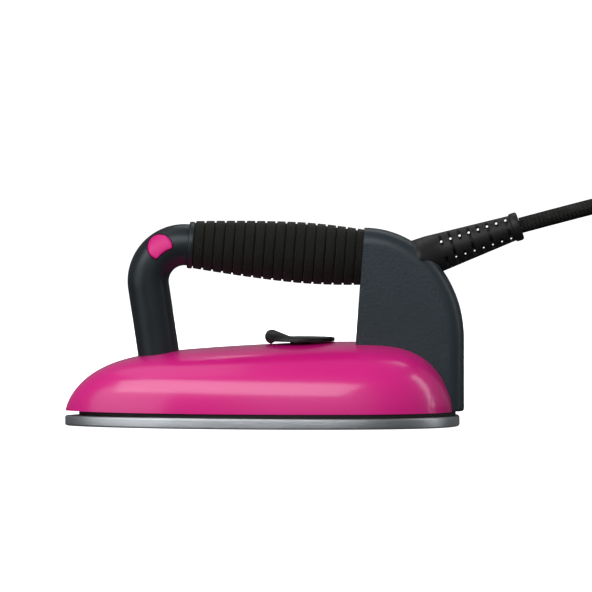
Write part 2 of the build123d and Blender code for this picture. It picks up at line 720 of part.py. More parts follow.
def grip_sleeve():
    """Soft sleeve with round ribs, pushed over the handle's core."""
    count = round(SLEEVE_LENGTH / RIB_PITCH)
    pitch = SLEEVE_LENGTH / count
    outline = [(0, CORE_RADIUS + SEAT_GAP)]
    for i in range(count):
        low, high = i * pitch, (i + 1) * pitch
        radius = sleeve_radius((i + 0.5) / count)
        edge = RIB_GROOVE / 2
        groove = radius - RIB_DEPTH
        outline += [(low, groove), (low + edge, groove), (low + edge, radius - 0.5),
                    (low + edge + 0.5, radius), (high - edge - 0.5, radius),
                    (high - edge, radius - 0.5), (high - edge, groove)]
    outline += [(SLEEVE_LENGTH, sleeve_radius(1.0) - RIB_DEPTH), (SLEEVE_LENGTH, CORE_RADIUS + SEAT_GAP)]
    return turned(outline, SLEEVE_START, GRIP_DIR)


# ------------------------------------------------------------- steam buttons
BOARD_THICK = 1.6
SWITCH_HEIGHT = 1.6
PLUNGER_HEIGHT = 1.4          # over the travel, so that the stem clears the switch


def steam_button(side):
    """Thumb button flush with the bend's flank, with a lip inside and a stem to its switch."""
    cap = bend_tube(POST_RADIUS + BUTTON_PROUD) - bend_tube(HANDLE_BORE + 1.0)
    cap &= button_prism(0)
    lip = bend_tube(HANDLE_BORE - 0.2) - bend_tube(HANDLE_BORE - 1.7)
    lip &= button_prism(BUTTON_LIP)
    bridge = bend_tube(HANDLE_BORE + 1.2) - bend_tube(HANDLE_BORE - 0.4)
    bridge &= button_prism(-0.3)
    centre = button_seat()
    face = BOARD_THICK / 2 + SWITCH_HEIGHT + PLUNGER_HEIGHT
    stem = rod((centre.X, face, centre.Z), (centre.X, 10.0, centre.Z), 1.5)
    low = block((-200, 2.6, 0), (200, 40, 200))
    body = ((cap + lip + bridge) & low) + stem
    return body if side > 0 else mirror(body, Plane.XZ)


def button_seat():
    """Where the buttons' stems meet the switches, near the handle's centreline."""
    out = (button_centre() - BEND_CENTRE).normalized()
    return BEND_CENTRE + out * (BEND_RADIUS + 1.2)


BOARD_REACH = 10.0
CABLE_LIFT = 5.6              # switch cable above the handle's centreline


def switch_board():
    """Small board on the middle plane of the bend, held between the halves."""
    centre = button_seat()
    board = rod((centre.X, -BOARD_THICK / 2, centre.Z), (centre.X, BOARD_THICK / 2, centre.Z), 30)
    inside = bend_tube(HANDLE_BORE - SEAT_GAP)
    window = block((centre.X - 10, -5, centre.Z - 9), (centre.X + BOARD_REACH, 5, centre.Z + 12))
    return board & inside & window


def microswitches():
    """Two tiny switches, one each side of the board."""
    c = button_seat()
    top = BOARD_THICK / 2 + SWITCH_HEIGHT
    return group(
        block((c.X - 2.6, min(s * BOARD_THICK / 2, s * top), c.Z - 2.6),
              (c.X + 2.6, max(s * BOARD_THICK / 2, s * top), c.Z + 2.6))
        - rod((c.X, s * (BOARD_THICK / 2 - 1), c.Z), (c.X, s * (top + 1), c.Z), 1.0 + RUN_GAP)
        for s in (1, -1)
    )


def switch_plunger(side):
    """Plunger of a switch, which travels with its button."""
    c = button_seat()
    face = BOARD_THICK / 2 + SWITCH_HEIGHT + PLUNGER_HEIGHT
    foot = BOARD_THICK / 2 + BUTTON_TRAVEL + 0.1
    return rod((c.X, side * foot, c.Z), (c.X, side * face, c.Z), 1.0)


def button_spring(side):
    """Coil spring round the stem, between the switch and the button's lip."""
    c = button_seat()
    low = BOARD_THICK / 2 + SWITCH_HEIGHT + 0.25
    wire, coil, height = 0.2, 1.95, 2.6
    helix = Helix(pitch=height / 3, height=height, radius=coil)
    start = Plane(origin=helix @ 0, z_dir=helix % 0)
    spring = sweep(start * Circle(wire), path=helix)
    spring = Pos(c.X, low, c.Z) * Rot(-90, 0, 0) * spring
    return spring if side > 0 else mirror(spring, Plane.XZ)


# ------------------------------------------------------------- rear housing
def housing_face(inset, open_bottom):
    """Side outline of the rear housing: a slanted front, a quarter ellipse over the back, a rear strip."""
    rear = REAR_FACE - inset
    top = HOUSING_HEIGHT - inset
    front_top = HOUSING_FRONT + inset
    skirt = HOUSING_SKIRT
    bottom = RIM - 3 if open_bottom else RIM
    front_low = front_face_x(skirt) + inset
    arc = EllipticalCenterArc(
        (front_top, HOUSING_ARC_Z), rear - front_top, top - HOUSING_ARC_Z, start_angle=0, arc_size=90,
    )
    foot_x = REAR_FACE - 30 + (0 if not open_bottom else -4)
    low_front = (front_low, skirt - (3 if open_bottom else 0))
    line = Polyline((front_top, top), low_front, (foot_x, low_front[1]), (foot_x, bottom), (rear, bottom),
                    (rear, HOUSING_ARC_Z))
    return Plane.XZ * make_face([arc, line])


def housing_block(inset, open_bottom):
    """The housing's outer form, its long edges rounded."""
    half = HOUSING_WIDTH / 2 - inset
    body = extrude(housing_face(inset, open_bottom), half, both=True)
    rear = REAR_FACE - inset

    def is_back_edge(edge):
        middle = edge @ 0.5
        on_side = abs(abs(middle.Y) - half) < 0.01
        on_arc = middle.Z > HOUSING_ARC_Z and middle.X > HOUSING_FRONT + inset + 5
        return on_side and (on_arc or abs(middle.X - rear) < 0.01)

    return fillet(body.edges().filter_by(is_back_edge), max(HOUSING_ROUND - inset, 1.0))


def housing_screw_places():
    """Three cross screws, (x, z)."""
    return [
        (front_face_x(64) + 9.5, 64.0),
        (REAR_FACE - 10.5, HOUSING_ARC_Z + 12),
        (BRACKET_FRONT + BRACKET_LENGTH / 2, 36.0),
    ]


def local_rod(along_from, along_to, radius):
    """A round bar on the cord guard's axis."""
    return rod(GUARD_START + GUARD_DIR * along_from, GUARD_START + GUARD_DIR * along_to, radius)


def guard_plane(along, up):
    """Work plane across the middle plane, on the cord guard's axes."""
    origin = GUARD_START + GUARD_DIR * along + GUARD_UP * up
    return Plane(origin=origin, x_dir=GUARD_DIR, z_dir=GUARD_UP)


CLAMP_FRONT = -17.5
CLAMP_BACK = -11.5
CLAMP_WIDTH = 24.0


def housing_shell():
    """Both halves of the housing in one, with its sockets and bosses."""
    outer = housing_block(0, False)
    shell = outer - housing_block(HOUSING_WALL, True)
    socket = rod(SLEEVE_END - GRIP_DIR * 2, SLEEVE_END + GRIP_DIR * (CORE_ENGAGEMENT - 1),
                 CORE_RADIUS + SOCKET_WALL)
    gland = local_rod(-GUARD_FLANGE_DEPTH - 2, 12, GUARD_ROOT_RADIUS + 2.5)
    shelf = guard_plane((CLAMP_FRONT + CLAMP_BACK) / 2, -8.5) * Box(6, HOUSING_WIDTH, 3)
    shell += (socket + gland + shelf) & outer
    for x, z in housing_screw_places():
        half = HOUSING_WIDTH / 2 - 0.5
        shell += rod((x, -half, z), (x, half, z), 4.0) & outer
        shell -= rod((x, -13, z), (x, half + 1, z), 1.6 + SEAT_GAP)
        shell -= rod((x, half - 4.5, z), (x, half + 2, z), 3.1)
    shell -= rod(SLEEVE_END - GRIP_DIR * 3, CORE_END + GRIP_DIR, CORE_RADIUS + SEAT_GAP)
    shell -= local_rod(-GUARD_FLANGE_DEPTH - 0.1, 20, GUARD_ROOT_RADIUS + SEAT_GAP)
    shell -= local_rod(-GUARD_FLANGE_DEPTH - 6, -GUARD_FLANGE_DEPTH, GUARD_FLANGE_RADIUS + SEAT_GAP)
    for side in (1, -1):
        hole = guard_plane((CLAMP_FRONT + CLAMP_BACK) / 2, -8.5) * Pos(0, side * 8.5, 0)
        shell -= hole * Cylinder(1.4 + SEAT_GAP, 8)
    return shell


BLOCK_SETBACK = 41.7          # rear face to the terminal block's front
BLOCK_Z = 57.0
BLOCK_SIZE = (13.0, 20.0, 10.0)


def block_corner():
    """Low corner of the terminal block."""
    return Vector(REAR_FACE - BLOCK_SETBACK, -BLOCK_SIZE[1] / 2, BLOCK_Z)


def rear_housing(side):
    """One half of the rear housing; the left half also carries the terminal block's shelf."""
    half = half_of(housing_shell(), side)
    if side < 0:
        low = block_corner()
        inner = HOUSING_WIDTH / 2 - HOUSING_WALL
        half += block((low.X - 1, -inner - 0.5, low.Z - 2.5),
                      (low.X + BLOCK_SIZE[0] + 1, low.Y + BLOCK_SIZE[1], low.Z))
    return half


def housing_screws():
    """Three long screws from the right side."""
    under_head = HOUSING_WIDTH / 2 - 5
    return group(
        screw((x, under_head, z), (0, -1, 0), under_head + 12.5, 1.6, 3, 1.8)
        for x, z in housing_screw_places()
    )


def rear_bracket():
    """Steel foot on the soleplate whose upright is caught by the housing's lowest boss."""
    low = (BRACKET_FRONT, -BRACKET_WIDTH / 2, PLATE_TOP)
    high = (BRACKET_FRONT + BRACKET_LENGTH, BRACKET_WIDTH / 2, PLATE_TOP + BRACKET_THICK)
    x, z = housing_screw_places()[2]
    body = block(low, high)
    body += block((low[0] + 1, -1.5, PLATE_TOP), (high[0] - 1, 1.5, z + 8))
    body -= rod((x, -5, z), (x, 5, z), 4.0 + SEAT_GAP)
    for sx, sy in bracket_screw_places():
        body -= rod((sx, sy, PLATE_TOP - 1), (sx, sy, PLATE_TOP + 5), 2 + SEAT_GAP)
    return body


def bracket_screws():
    """Two screws of the rear bracket."""
    return group(
        screw((x, y, PLATE_TOP + BRACKET_THICK), (0, 0, -1), BRACKET_THICK + 3.5, 2, 3.4, 2.4)
        for x, y in bracket_screw_places()
    )


# ------------------------------------------------------ cord guard and leads
def guard_radius(along):
    """Outer radius of the guard outside the housing."""
    share = along / (GUARD_LENGTH - GUARD_RING_WIDTH)
    return GUARD_ROOT_RADIUS + (GUARD_TIP_RADIUS - GUARD_ROOT_RADIUS) * share


def cord_guard():
    """Tapered strain relief with slots on both flanks, a cross hole at each, and a ring at its tip."""
    taper_end = GUARD_LENGTH - GUARD_RING_WIDTH
    depth = GUARD_FLANGE_DEPTH
    outline = [
        (-depth - GUARD_FLANGE_THICK, CORD_RADIUS + SEAT_GAP),
        (-depth - GUARD_FLANGE_THICK, GUARD_FLANGE_RADIUS), (-depth, GUARD_FLANGE_RADIUS),
        (-depth, GUARD_ROOT_RADIUS), (0, GUARD_ROOT_RADIUS), (taper_end, GUARD_TIP_RADIUS),
        (taper_end, GUARD_RING_RADIUS - 0.6), (taper_end + 0.6, GUARD_RING_RADIUS),
        (GUARD_LENGTH - 0.8, GUARD_RING_RADIUS), (GUARD_LENGTH, GUARD_RING_RADIUS - 0.8),
        (GUARD_LENGTH, CORD_RADIUS + SEAT_GAP),
    ]
    guard = turned(outline, GUARD_START, GUARD_DIR)
    first = taper_end - 5.4 - SLOT_PITCH * (SLOT_COUNT - 1)
    for i in range(SLOT_COUNT):
        along = first + i * SLOT_PITCH
        ring = local_rod(along - SLOT_WIDTH / 2, along + SLOT_WIDTH / 2, 20)
        ring -= local_rod(along - 2, along + 2, CORD_RADIUS + 0.4)
        ring -= guard_plane(along, 0) * Box(4, SLOT_WEB, 44)
        if i % 2 == 0:
            ring -= guard_plane(along, 0) * Box(4, 44, SLOT_WEB)
        guard -= ring
        for offset in (SIGHT_OFFSET, -SIGHT_OFFSET) if i else (SIGHT_OFFSET,):
            centre = GUARD_START + GUARD_DIR * along + GUARD_UP * offset
            guard -= rod(centre - Vector(0, 20, 0), centre + Vector(0, 20, 0), SIGHT_RADIUS)
    return guard


def cord_inner():
    """The cord's end inside the guard and the clamp."""
    return local_rod(CLAMP_FRONT - 2, GUARD_LENGTH, CORD_RADIUS)


def cord_clamp():
    """Saddle that grips the cord inside the housing."""
    body = guard_plane((CLAMP_FRONT + CLAMP_BACK) / 2, -0.5) * Box(6, CLAMP_WIDTH, 13)
    body -= local_rod(CLAMP_FRONT - 1, CLAMP_BACK + 1, CORD_RADIUS + SEAT_GAP)
    for side in (1, -1):
        hole = guard_plane((CLAMP_FRONT + CLAMP_BACK) / 2, 0) * Pos(0, side * 8.5, 0)
        body -= hole * Cylinder(1.4 + SEAT_GAP, 20)
    return body


def clamp_screws():
    """Two screws of the cord clamp, along the guard's normal."""
    middle = (CLAMP_FRONT + CLAMP_BACK) / 2
    heads = [GUARD_START + GUARD_DIR * middle + GUARD_UP * 6.0 + Vector(0, s * 8.5, 0) for s in (1, -1)]
    return group(screw(h, tuple(GUARD_UP * -1), 15.5, 1.4, 2.5, 1.6) for h in heads)


def terminal_block():
    """Three-way block on its shelf."""
    low = block_corner()
    body = block(tuple(low), (low.X + BLOCK_SIZE[0], low.Y + BLOCK_SIZE[1], low.Z + BLOCK_SIZE[2]))
    for y in WIRE_LANES:
        body -= rod((low.X + 9, y, low.Z + 4), (low.X + 9, y, low.Z + 11), 1.6 + SEAT_GAP)
    return body


WIRE_LANES = (-6.0, 0.0, 6.0)
LEAD_RADIUS = 0.9


def terminal_screws():
    """One clamping screw for each way of the block."""
    low = block_corner()
    return group(rod((low.X + 9, y, low.Z + 4), (low.X + 9, y, low.Z + 9.4), 1.6) for y in WIRE_LANES)


def lead_start(lane):
    """Where a lead comes out of the cord's inner end."""
    return GUARD_START + GUARD_DIR * (CLAMP_FRONT - 2) - GUARD_UP * 2.6 + Vector(0, lane * 0.35, 0)


def supply_leads():
    """Live, neutral and earth leads from the cord's end to the block's top."""
    low = block_corner()
    top = low.Z + BLOCK_SIZE[2]
    leads = []
    for y in WIRE_LANES:
        start = lead_start(y)
        leads.append(wire_route([
            tuple(start), tuple(start - GUARD_DIR * 3), (low.X + 2.5, y * 0.8, top + 12),
            (low.X + 3.5, y, top + 6), (low.X + 3.5, y, top),
        ], LEAD_RADIUS))
    return group(leads)


def block_exit(lane):
    """First two points of a lead out of the block's front face."""
    low = block_corner()
    return [(low.X, lane, low.Z + 3), (low.X - 7, lane, low.Z + 3)]


def live_lead():
    """From the block to the thermostat, round the lower end of the housing's front wall."""
    y = WIRE_LANES[2]
    out = THERMOSTAT_RADIUS * cos(radians(35)), THERMOSTAT_RADIUS * sin(radians(35))
    return wire_route(block_exit(y) + [
        (block_corner().X - 9, y, 31), (DIAL_X + 26, y + 1, 29),
        (DIAL_X + 1.5 * out[0], 1.5 * out[1], 20.5), (DIAL_X + out[0], out[1], 19.5),
    ], LEAD_RADIUS)


def neutral_lead():
    """From the block to the element's left tab."""
    low, top = block_corner(), tab_top()
    return wire_route(block_exit(WIRE_LANES[0]) + [
        (low.X - 9, -7, 30), (low.X - 3, -20, 29), (top.X, -top.Y, 31), (top.X, -top.Y, top.Z),
    ], LEAD_RADIUS)


def load_lead():
    """From the thermal fuse to the element's right tab."""
    top = tab_top()
    return wire_route([
        (FUSE_X, 9, FUSE_Z), (FUSE_X, 14, FUSE_Z), (FUSE_X + 5, 25, FUSE_Z + 1), (top.X - 8, top.Y + 2, 28),
        (top.X, top.Y, 31), (top.X, top.Y, top.Z),
    ], LEAD_RADIUS)


def link_lead():
    """From the thermostat to the thermal fuse."""
    out = THERMOSTAT_RADIUS * cos(radians(35)), THERMOSTAT_RADIUS * sin(radians(35))
    return wire_route([
        (DIAL_X + out[0], -out[1], 19.5), (DIAL_X + 1.4 * out[0], -1.4 * out[1], 19.5),
        (FUSE_X, -15, FUSE_Z + 0.5), (FUSE_X, -9, FUSE_Z),
    ], LEAD_RADIUS)


def earth_lead():
    """From the block to the earth stud on the island."""
    stud = ISLAND_REAR_X - 5
    return wire_route(block_exit(0) + [
        (block_corner().X - 9, 0, 34), (stud, 0, 26), (stud, 0, ISLAND_TOP + 2.5),
    ], LEAD_RADIUS)


def earth_stud():
    """Screwed earth terminal on the island."""
    return rod((ISLAND_REAR_X - 5, 0, ISLAND_TOP), (ISLAND_REAR_X - 5, 0, ISLAND_TOP + 2.5), 2.6)


PIPE_RADIUS = 2.1
PIPE_LANE = 13.2


def steam_pipe():
    """Silicone pipe from the cord down to the steam inlet."""
    x, y = INLET
    low = block_corner()
    start = GUARD_START + GUARD_DIR * (CLAMP_FRONT - 2) + GUARD_UP * 1.6
    z = LID_TOP + 4
    return wire_route([
        tuple(start), tuple(start - GUARD_DIR * 5), (low.X - 1, 9.6, low.Z + 31),
        (low.X, PIPE_LANE, low.Z + 18), (low.X + 0.5, PIPE_LANE, 40), (low.X - 6, PIPE_LANE, 24),
        (low.X - 18, PIPE_LANE + 0.3, z), (x + 12, y, z),
    ], PIPE_RADIUS)


def switch_cable():
    """Thin cable of the button switches, above the cross screws and down to the block."""
    c = button_seat()
    low = block_corner()
    up = Vector(-GRIP_DIR.Z, 0, GRIP_DIR.X)
    lift = up * CABLE_LIFT
    bend_top = BEND_END + lift
    middle = SLEEVE_START + GRIP_DIR * 50 + up * (CABLE_LIFT + 0.4)
    late = SLEEVE_START + GRIP_DIR * (HANDLE_SCREWS_ALONG[1] + 7) + lift
    return wire_route([
        (c.X + BOARD_REACH, 0, bend_top.Z + 0.4), tuple(bend_top), tuple(middle), tuple(late),
        tuple(CORE_END - GRIP_DIR * 8 + Vector(0, -6, 1)), tuple(CORE_END + GRIP_DIR * 4 + Vector(0, -8, -2)),
        (low.X + 1.5, -8.5, 78), (low.X + 3.5, -8.6, low.Z + BLOCK_SIZE[2] + 5),
        (low.X + 3.5, -8.6, low.Z + BLOCK_SIZE[2]),
    ], 0.8)


# -------------------------------------------------------------------- cord
COIL_X = 359.0
COIL_OUTER_TURN = 60.0
COIL_INNER_TURN = 35.25
CONNECTOR_RADIUS = 11.0
CORD_RUN = [
    (172, 0, 121.6), (205, 0, 130.0), (248, -8, 120), (276, -21, 91), (289, -32, 52),
    (304.5, -45.5, 25.5), (330, -58, 13.8), (COIL_X, -COIL_OUTER_TURN, 3 * CORD_RADIUS),
]
CORD_TAIL = [
    (COIL_X, COIL_OUTER_TURN, CORD_RADIUS), (COIL_X - 27, 62, CORD_RADIUS + 0.6),
    (COIL_X - 53, 63, CONNECTOR_RADIUS - 0.6), (COIL_X - 78, 63, CONNECTOR_RADIUS),
]


def cord_tube(points, name):
    """A free stretch of cord; its bend radii are printed, and its volume against section times length."""
    radii = route_radii(points)
    path = FilletPolyline(*points, radius=radii)
    solid = tube(points, radii, CORD_RADIUS)
    share = solid.volume / (pi * CORD_RADIUS ** 2 * path.length)
    print(name, "bend radii", [round(r, 1) for r in radii], "length", round(path.length, 1),
          "volume share", round(share, 5))
    return solid


def cord_run():
    """The cord from the guard's tip over and down to the coil."""
    return cord_tube([tuple(GUARD_TIP)] + CORD_RUN, "cord_run")


def cord_coil():
    """Outer form of the coil: two flat layers of turns."""
    outer, inner = COIL_OUTER_TURN + CORD_RADIUS, COIL_INNER_TURN - CORD_RADIUS
    height = 4 * CORD_RADIUS
    ring = rod((COIL_X, 0, 0), (COIL_X, 0, height), outer) - rod((COIL_X, 0, -1), (COIL_X, 0, height + 1), inner)
    return fillet(ring.edges().filter_by(GeomType.CIRCLE), 0.8 * CORD_RADIUS)


def cord_tail():
    """The cord from the coil to its connector."""
    return cord_tube(CORD_TAIL, "cord_tail")


CONNECTOR_START = Vector(*CORD_TAIL[-1])
CONNECTOR_DIR = Vector(-1, 0, 0)
CONNECTOR_GUARD = 28.0
CONNECTOR_LENGTH = 36.0
SPIGOT_RADIUS = 4.0
SPIGOT_LENGTH = 14.0
SPIGOT_ROOT_RADIUS = 3.6
SPIGOT_ROOT_DEPTH = 6.0


def connector_guard():
    """Tapered sleeve where the cord enters the connector."""
    outline = [(0, 0), (0, 5.6), (1, 6.3), (CONNECTOR_GUARD, 8.6), (CONNECTOR_GUARD, 0)]
    return turned(outline, CONNECTOR_START, CONNECTOR_DIR)


def connector_body():
    """Body of the station connector, ribbed for pulling, with a socket ring at its nose."""
    base, end = CONNECTOR_GUARD, CONNECTOR_GUARD + CONNECTOR_LENGTH
    radius = CONNECTOR_RADIUS
    outline = [(base, 0), (base, 9.2), (base + 2.5, radius), (base + 8, radius)]
    for i in range(4):
        along = base + 9 + i * 4
        outline += [(along, radius), (along + 0.6, radius - 0.9), (along + 1.8, radius - 0.9),
                    (along + 2.4, radius)]
    outline += [(end - 1, radius), (end, radius - 1), (end, 0)]
    body = turned(outline, CONNECTOR_START, CONNECTOR_DIR)
    for start, radius_of, reach in connector_bores():
        body -= rod(start, start + CONNECTOR_DIR * reach, radius_of + SEAT_GAP)
    return body


def connector_bores():
    """Seats of the spigot and the pins: start, radius, depth."""
    face = CONNECTOR_START + CONNECTOR_DIR * (CONNECTOR_GUARD + CONNECTOR_LENGTH)
    seats = [(face - CONNECTOR_DIR * SPIGOT_ROOT_DEPTH, SPIGOT_ROOT_RADIUS, SPIGOT_ROOT_DEPTH + 1)]
    for angle in (90, 210, 330):
        off = Vector(0, cos(radians(angle)), sin(radians(angle))) * 7.4
        seats.append((face - CONNECTOR_DIR * SPIGOT_ROOT_DEPTH + off, 1.25, SPIGOT_ROOT_DEPTH + 1))
    return seats


def connector_spigot():
    """Brass steam spigot on a thinner root, with a bore at its end."""
    start = connector_bores()[0][0]
    face = start + CONNECTOR_DIR * SPIGOT_ROOT_DEPTH
    tip = face + CONNECTOR_DIR * SPIGOT_LENGTH
    spigot = rod(start, face, SPIGOT_ROOT_RADIUS) + rod(face, tip, SPIGOT_RADIUS)
    return spigot - rod(tip - CONNECTOR_DIR * 10, tip + CONNECTOR_DIR, 2.0)


def connector_pins():
    """Three contact pins round the spigot."""
    return group(
        rod(start, start + CONNECTOR_DIR * 14, radius) for start, radius, _ in connector_bores()[1:]
    )


PARTS = {
    "soleplate": soleplate,
    "heating_element": heating_element,
    "element_pins": element_pins,
    "chamber_gasket": chamber_gasket,
    "chamber_lid": chamber_lid,
    "lid_screws": lid_screws,
    "steam_inlet": steam_inlet,
    "heat_shield": heat_shield,
    "shield_screws": shield_screws,
    "cover": cover,
    "thermostat_body": thermostat_body,
    "thermostat_screws": thermostat_screws,
    "thermostat_spindle": thermostat_spindle,
    "temperature_dial": temperature_dial,
    "dial_retainer": dial_retainer,
    "thermal_fuse": thermal_fuse,
    "fuse_clip": fuse_clip,
    "front_pillar": front_pillar,
    "pillar_screws": pillar_screws,
    "handle_left_half": lambda: handle_half(-1),
    "handle_right_half": lambda: handle_half(1),
    "handle_screws": handle_screws,
    "grip_collar": grip_collar,
    "grip_sleeve": grip_sleeve,
    "steam_button_left": lambda: steam_button(-1),
    "steam_button_right": lambda: steam_button(1),
    "switch_plunger_left": lambda: switch_plunger(-1),
    "switch_plunger_right": lambda: switch_plunger(1),
    "button_spring_left": lambda: button_spring(-1),
    "button_spring_right": lambda: button_spring(1),
    "switch_board": switch_board,
    "microswitches": microswitches,
    "switch_cable": switch_cable,
    "rear_housing_left": lambda: rear_housing(-1),
    "rear_housing_right": lambda: rear_housing(1),
    "housing_screws": housing_screws,
    "rear_bracket": rear_bracket,
    "bracket_screws": bracket_screws,
    "cord_guard": cord_guard,
    "cord_inner": cord_inner,
    "cord_clamp": cord_clamp,
    "clamp_screws": clamp_screws,
    "terminal_block": terminal_block,
    "terminal_screws": terminal_screws,
    "supply_leads": supply_leads,
    "live_lead": live_lead,
    "neutral_lead": neutral_lead,
    "load_lead": load_lead,
    "link_lead": link_lead,
    "earth_lead": earth_lead,
    "earth_stud": earth_stud,
    "steam_pipe": steam_pipe,
    "cord_run": cord_run,
    "cord_coil": cord_coil,
    "cord_tail": cord_tail,
    "connector_guard": connector_guard,
    "connector_body": connector_body,
    "connector_spigot": connector_spigot,
    "connector_pins": connector_pins,
}

os.makedirs("parts", exist_ok=True)
for node, make in PARTS.items():
    export_step(make(), f"parts/{node}.step")
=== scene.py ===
"""Clothes iron of a steam station: its visible skins, finishes, cord and studio.

Sizes in this file are millimetres, and meshes are scaled to metres as they are
written. The sole rests on z = 0, the nose points to -X and the cord leaves at +X.
Left and right are those of a user behind the heel, so left is -Y.
"""

from __future__ import annotations

import json
import logging
import math
from dataclasses import dataclass, field
from enum import Enum
from typing import Any, Sequence

import bmesh
import bpy
import numpy as np
from mathutils import Matrix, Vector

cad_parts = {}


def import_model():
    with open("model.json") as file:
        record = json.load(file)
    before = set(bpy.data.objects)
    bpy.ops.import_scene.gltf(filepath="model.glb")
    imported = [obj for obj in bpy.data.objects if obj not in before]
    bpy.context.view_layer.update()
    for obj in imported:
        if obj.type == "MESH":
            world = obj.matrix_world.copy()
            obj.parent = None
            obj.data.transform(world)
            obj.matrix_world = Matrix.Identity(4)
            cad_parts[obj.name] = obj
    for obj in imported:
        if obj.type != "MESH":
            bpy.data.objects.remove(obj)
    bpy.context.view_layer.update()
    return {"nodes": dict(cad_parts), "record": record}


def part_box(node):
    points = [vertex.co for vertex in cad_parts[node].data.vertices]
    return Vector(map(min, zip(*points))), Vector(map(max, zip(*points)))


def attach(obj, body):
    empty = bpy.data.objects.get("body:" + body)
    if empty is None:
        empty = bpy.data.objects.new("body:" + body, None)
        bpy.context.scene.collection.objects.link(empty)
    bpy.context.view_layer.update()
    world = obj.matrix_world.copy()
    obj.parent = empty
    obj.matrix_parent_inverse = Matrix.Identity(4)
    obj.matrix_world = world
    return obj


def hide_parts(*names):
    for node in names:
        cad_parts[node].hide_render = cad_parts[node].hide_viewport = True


LOG = logging.getLogger("clothes_iron")
MM = 0.001
MERGE_DISTANCE = 2e-6           # metres; points nearer than this are one
FLAT_EDGE = 1e-7                # metres; shorter edges are dissolved
CUT_SHARP = 35.0                # degrees; shading angle of a piece that has been cut
CLOSED = (True, True)
HEEL_LENGTH = 81.3              # from the plate's widest line back to its heel
GUARD_AHEAD = 19.0              # the cord guard's root, ahead of the housing's rear
GUARD_BELOW = 15.5              # and below the housing's top


class Side(Enum):
    """Which side of the middle plane a piece is on."""

    LEFT = -1
    RIGHT = 1


class Body(Enum):
    """Rigid bodies of the iron."""

    IRON = "iron"
    DIAL = "dial"
    BUTTON_LEFT = "button_left"
    BUTTON_RIGHT = "button_right"


# --------------------------------------------------------------------- meshes
def ring_angles(count: int) -> np.ndarray:
    """Evenly spaced angles of one full turn, in radians, without the closing one."""
    return np.linspace(0.0, 2 * math.pi, count, endpoint=False)


def unit(vectors: np.ndarray) -> np.ndarray:
    """Vectors divided by their lengths."""
    return vectors / np.linalg.norm(vectors, axis=-1, keepdims=True)


@dataclass(frozen=True)
class Axes:
    """A local frame in the middle plane: a start, a direction along and a direction up."""

    start: tuple[float, float, float]
    pitch: float

    @property
    def along(self) -> np.ndarray:
        """Direction of the axis, pitch degrees above +X."""
        return np.array([math.cos(math.radians(self.pitch)), 0.0, math.sin(math.radians(self.pitch))])

    @property
    def up(self) -> np.ndarray:
        """Direction square to the axis, in the middle plane."""
        return np.array([-math.sin(math.radians(self.pitch)), 0.0, math.cos(math.radians(self.pitch))])

    def place(self, along: np.ndarray, across: np.ndarray, up: np.ndarray) -> np.ndarray:
        """Points of the iron's frame from local coordinates.

        Args:
            along: distances along the axis.
            across: distances towards +Y.
            up: distances square to both.

        Returns:
            Points, with a last dimension of three.
        """
        side = np.array([0.0, 1.0, 0.0])
        terms = (along[..., None] * self.along, across[..., None] * side, up[..., None] * self.up)
        return np.array(self.start) + terms[0] + terms[1] + terms[2]


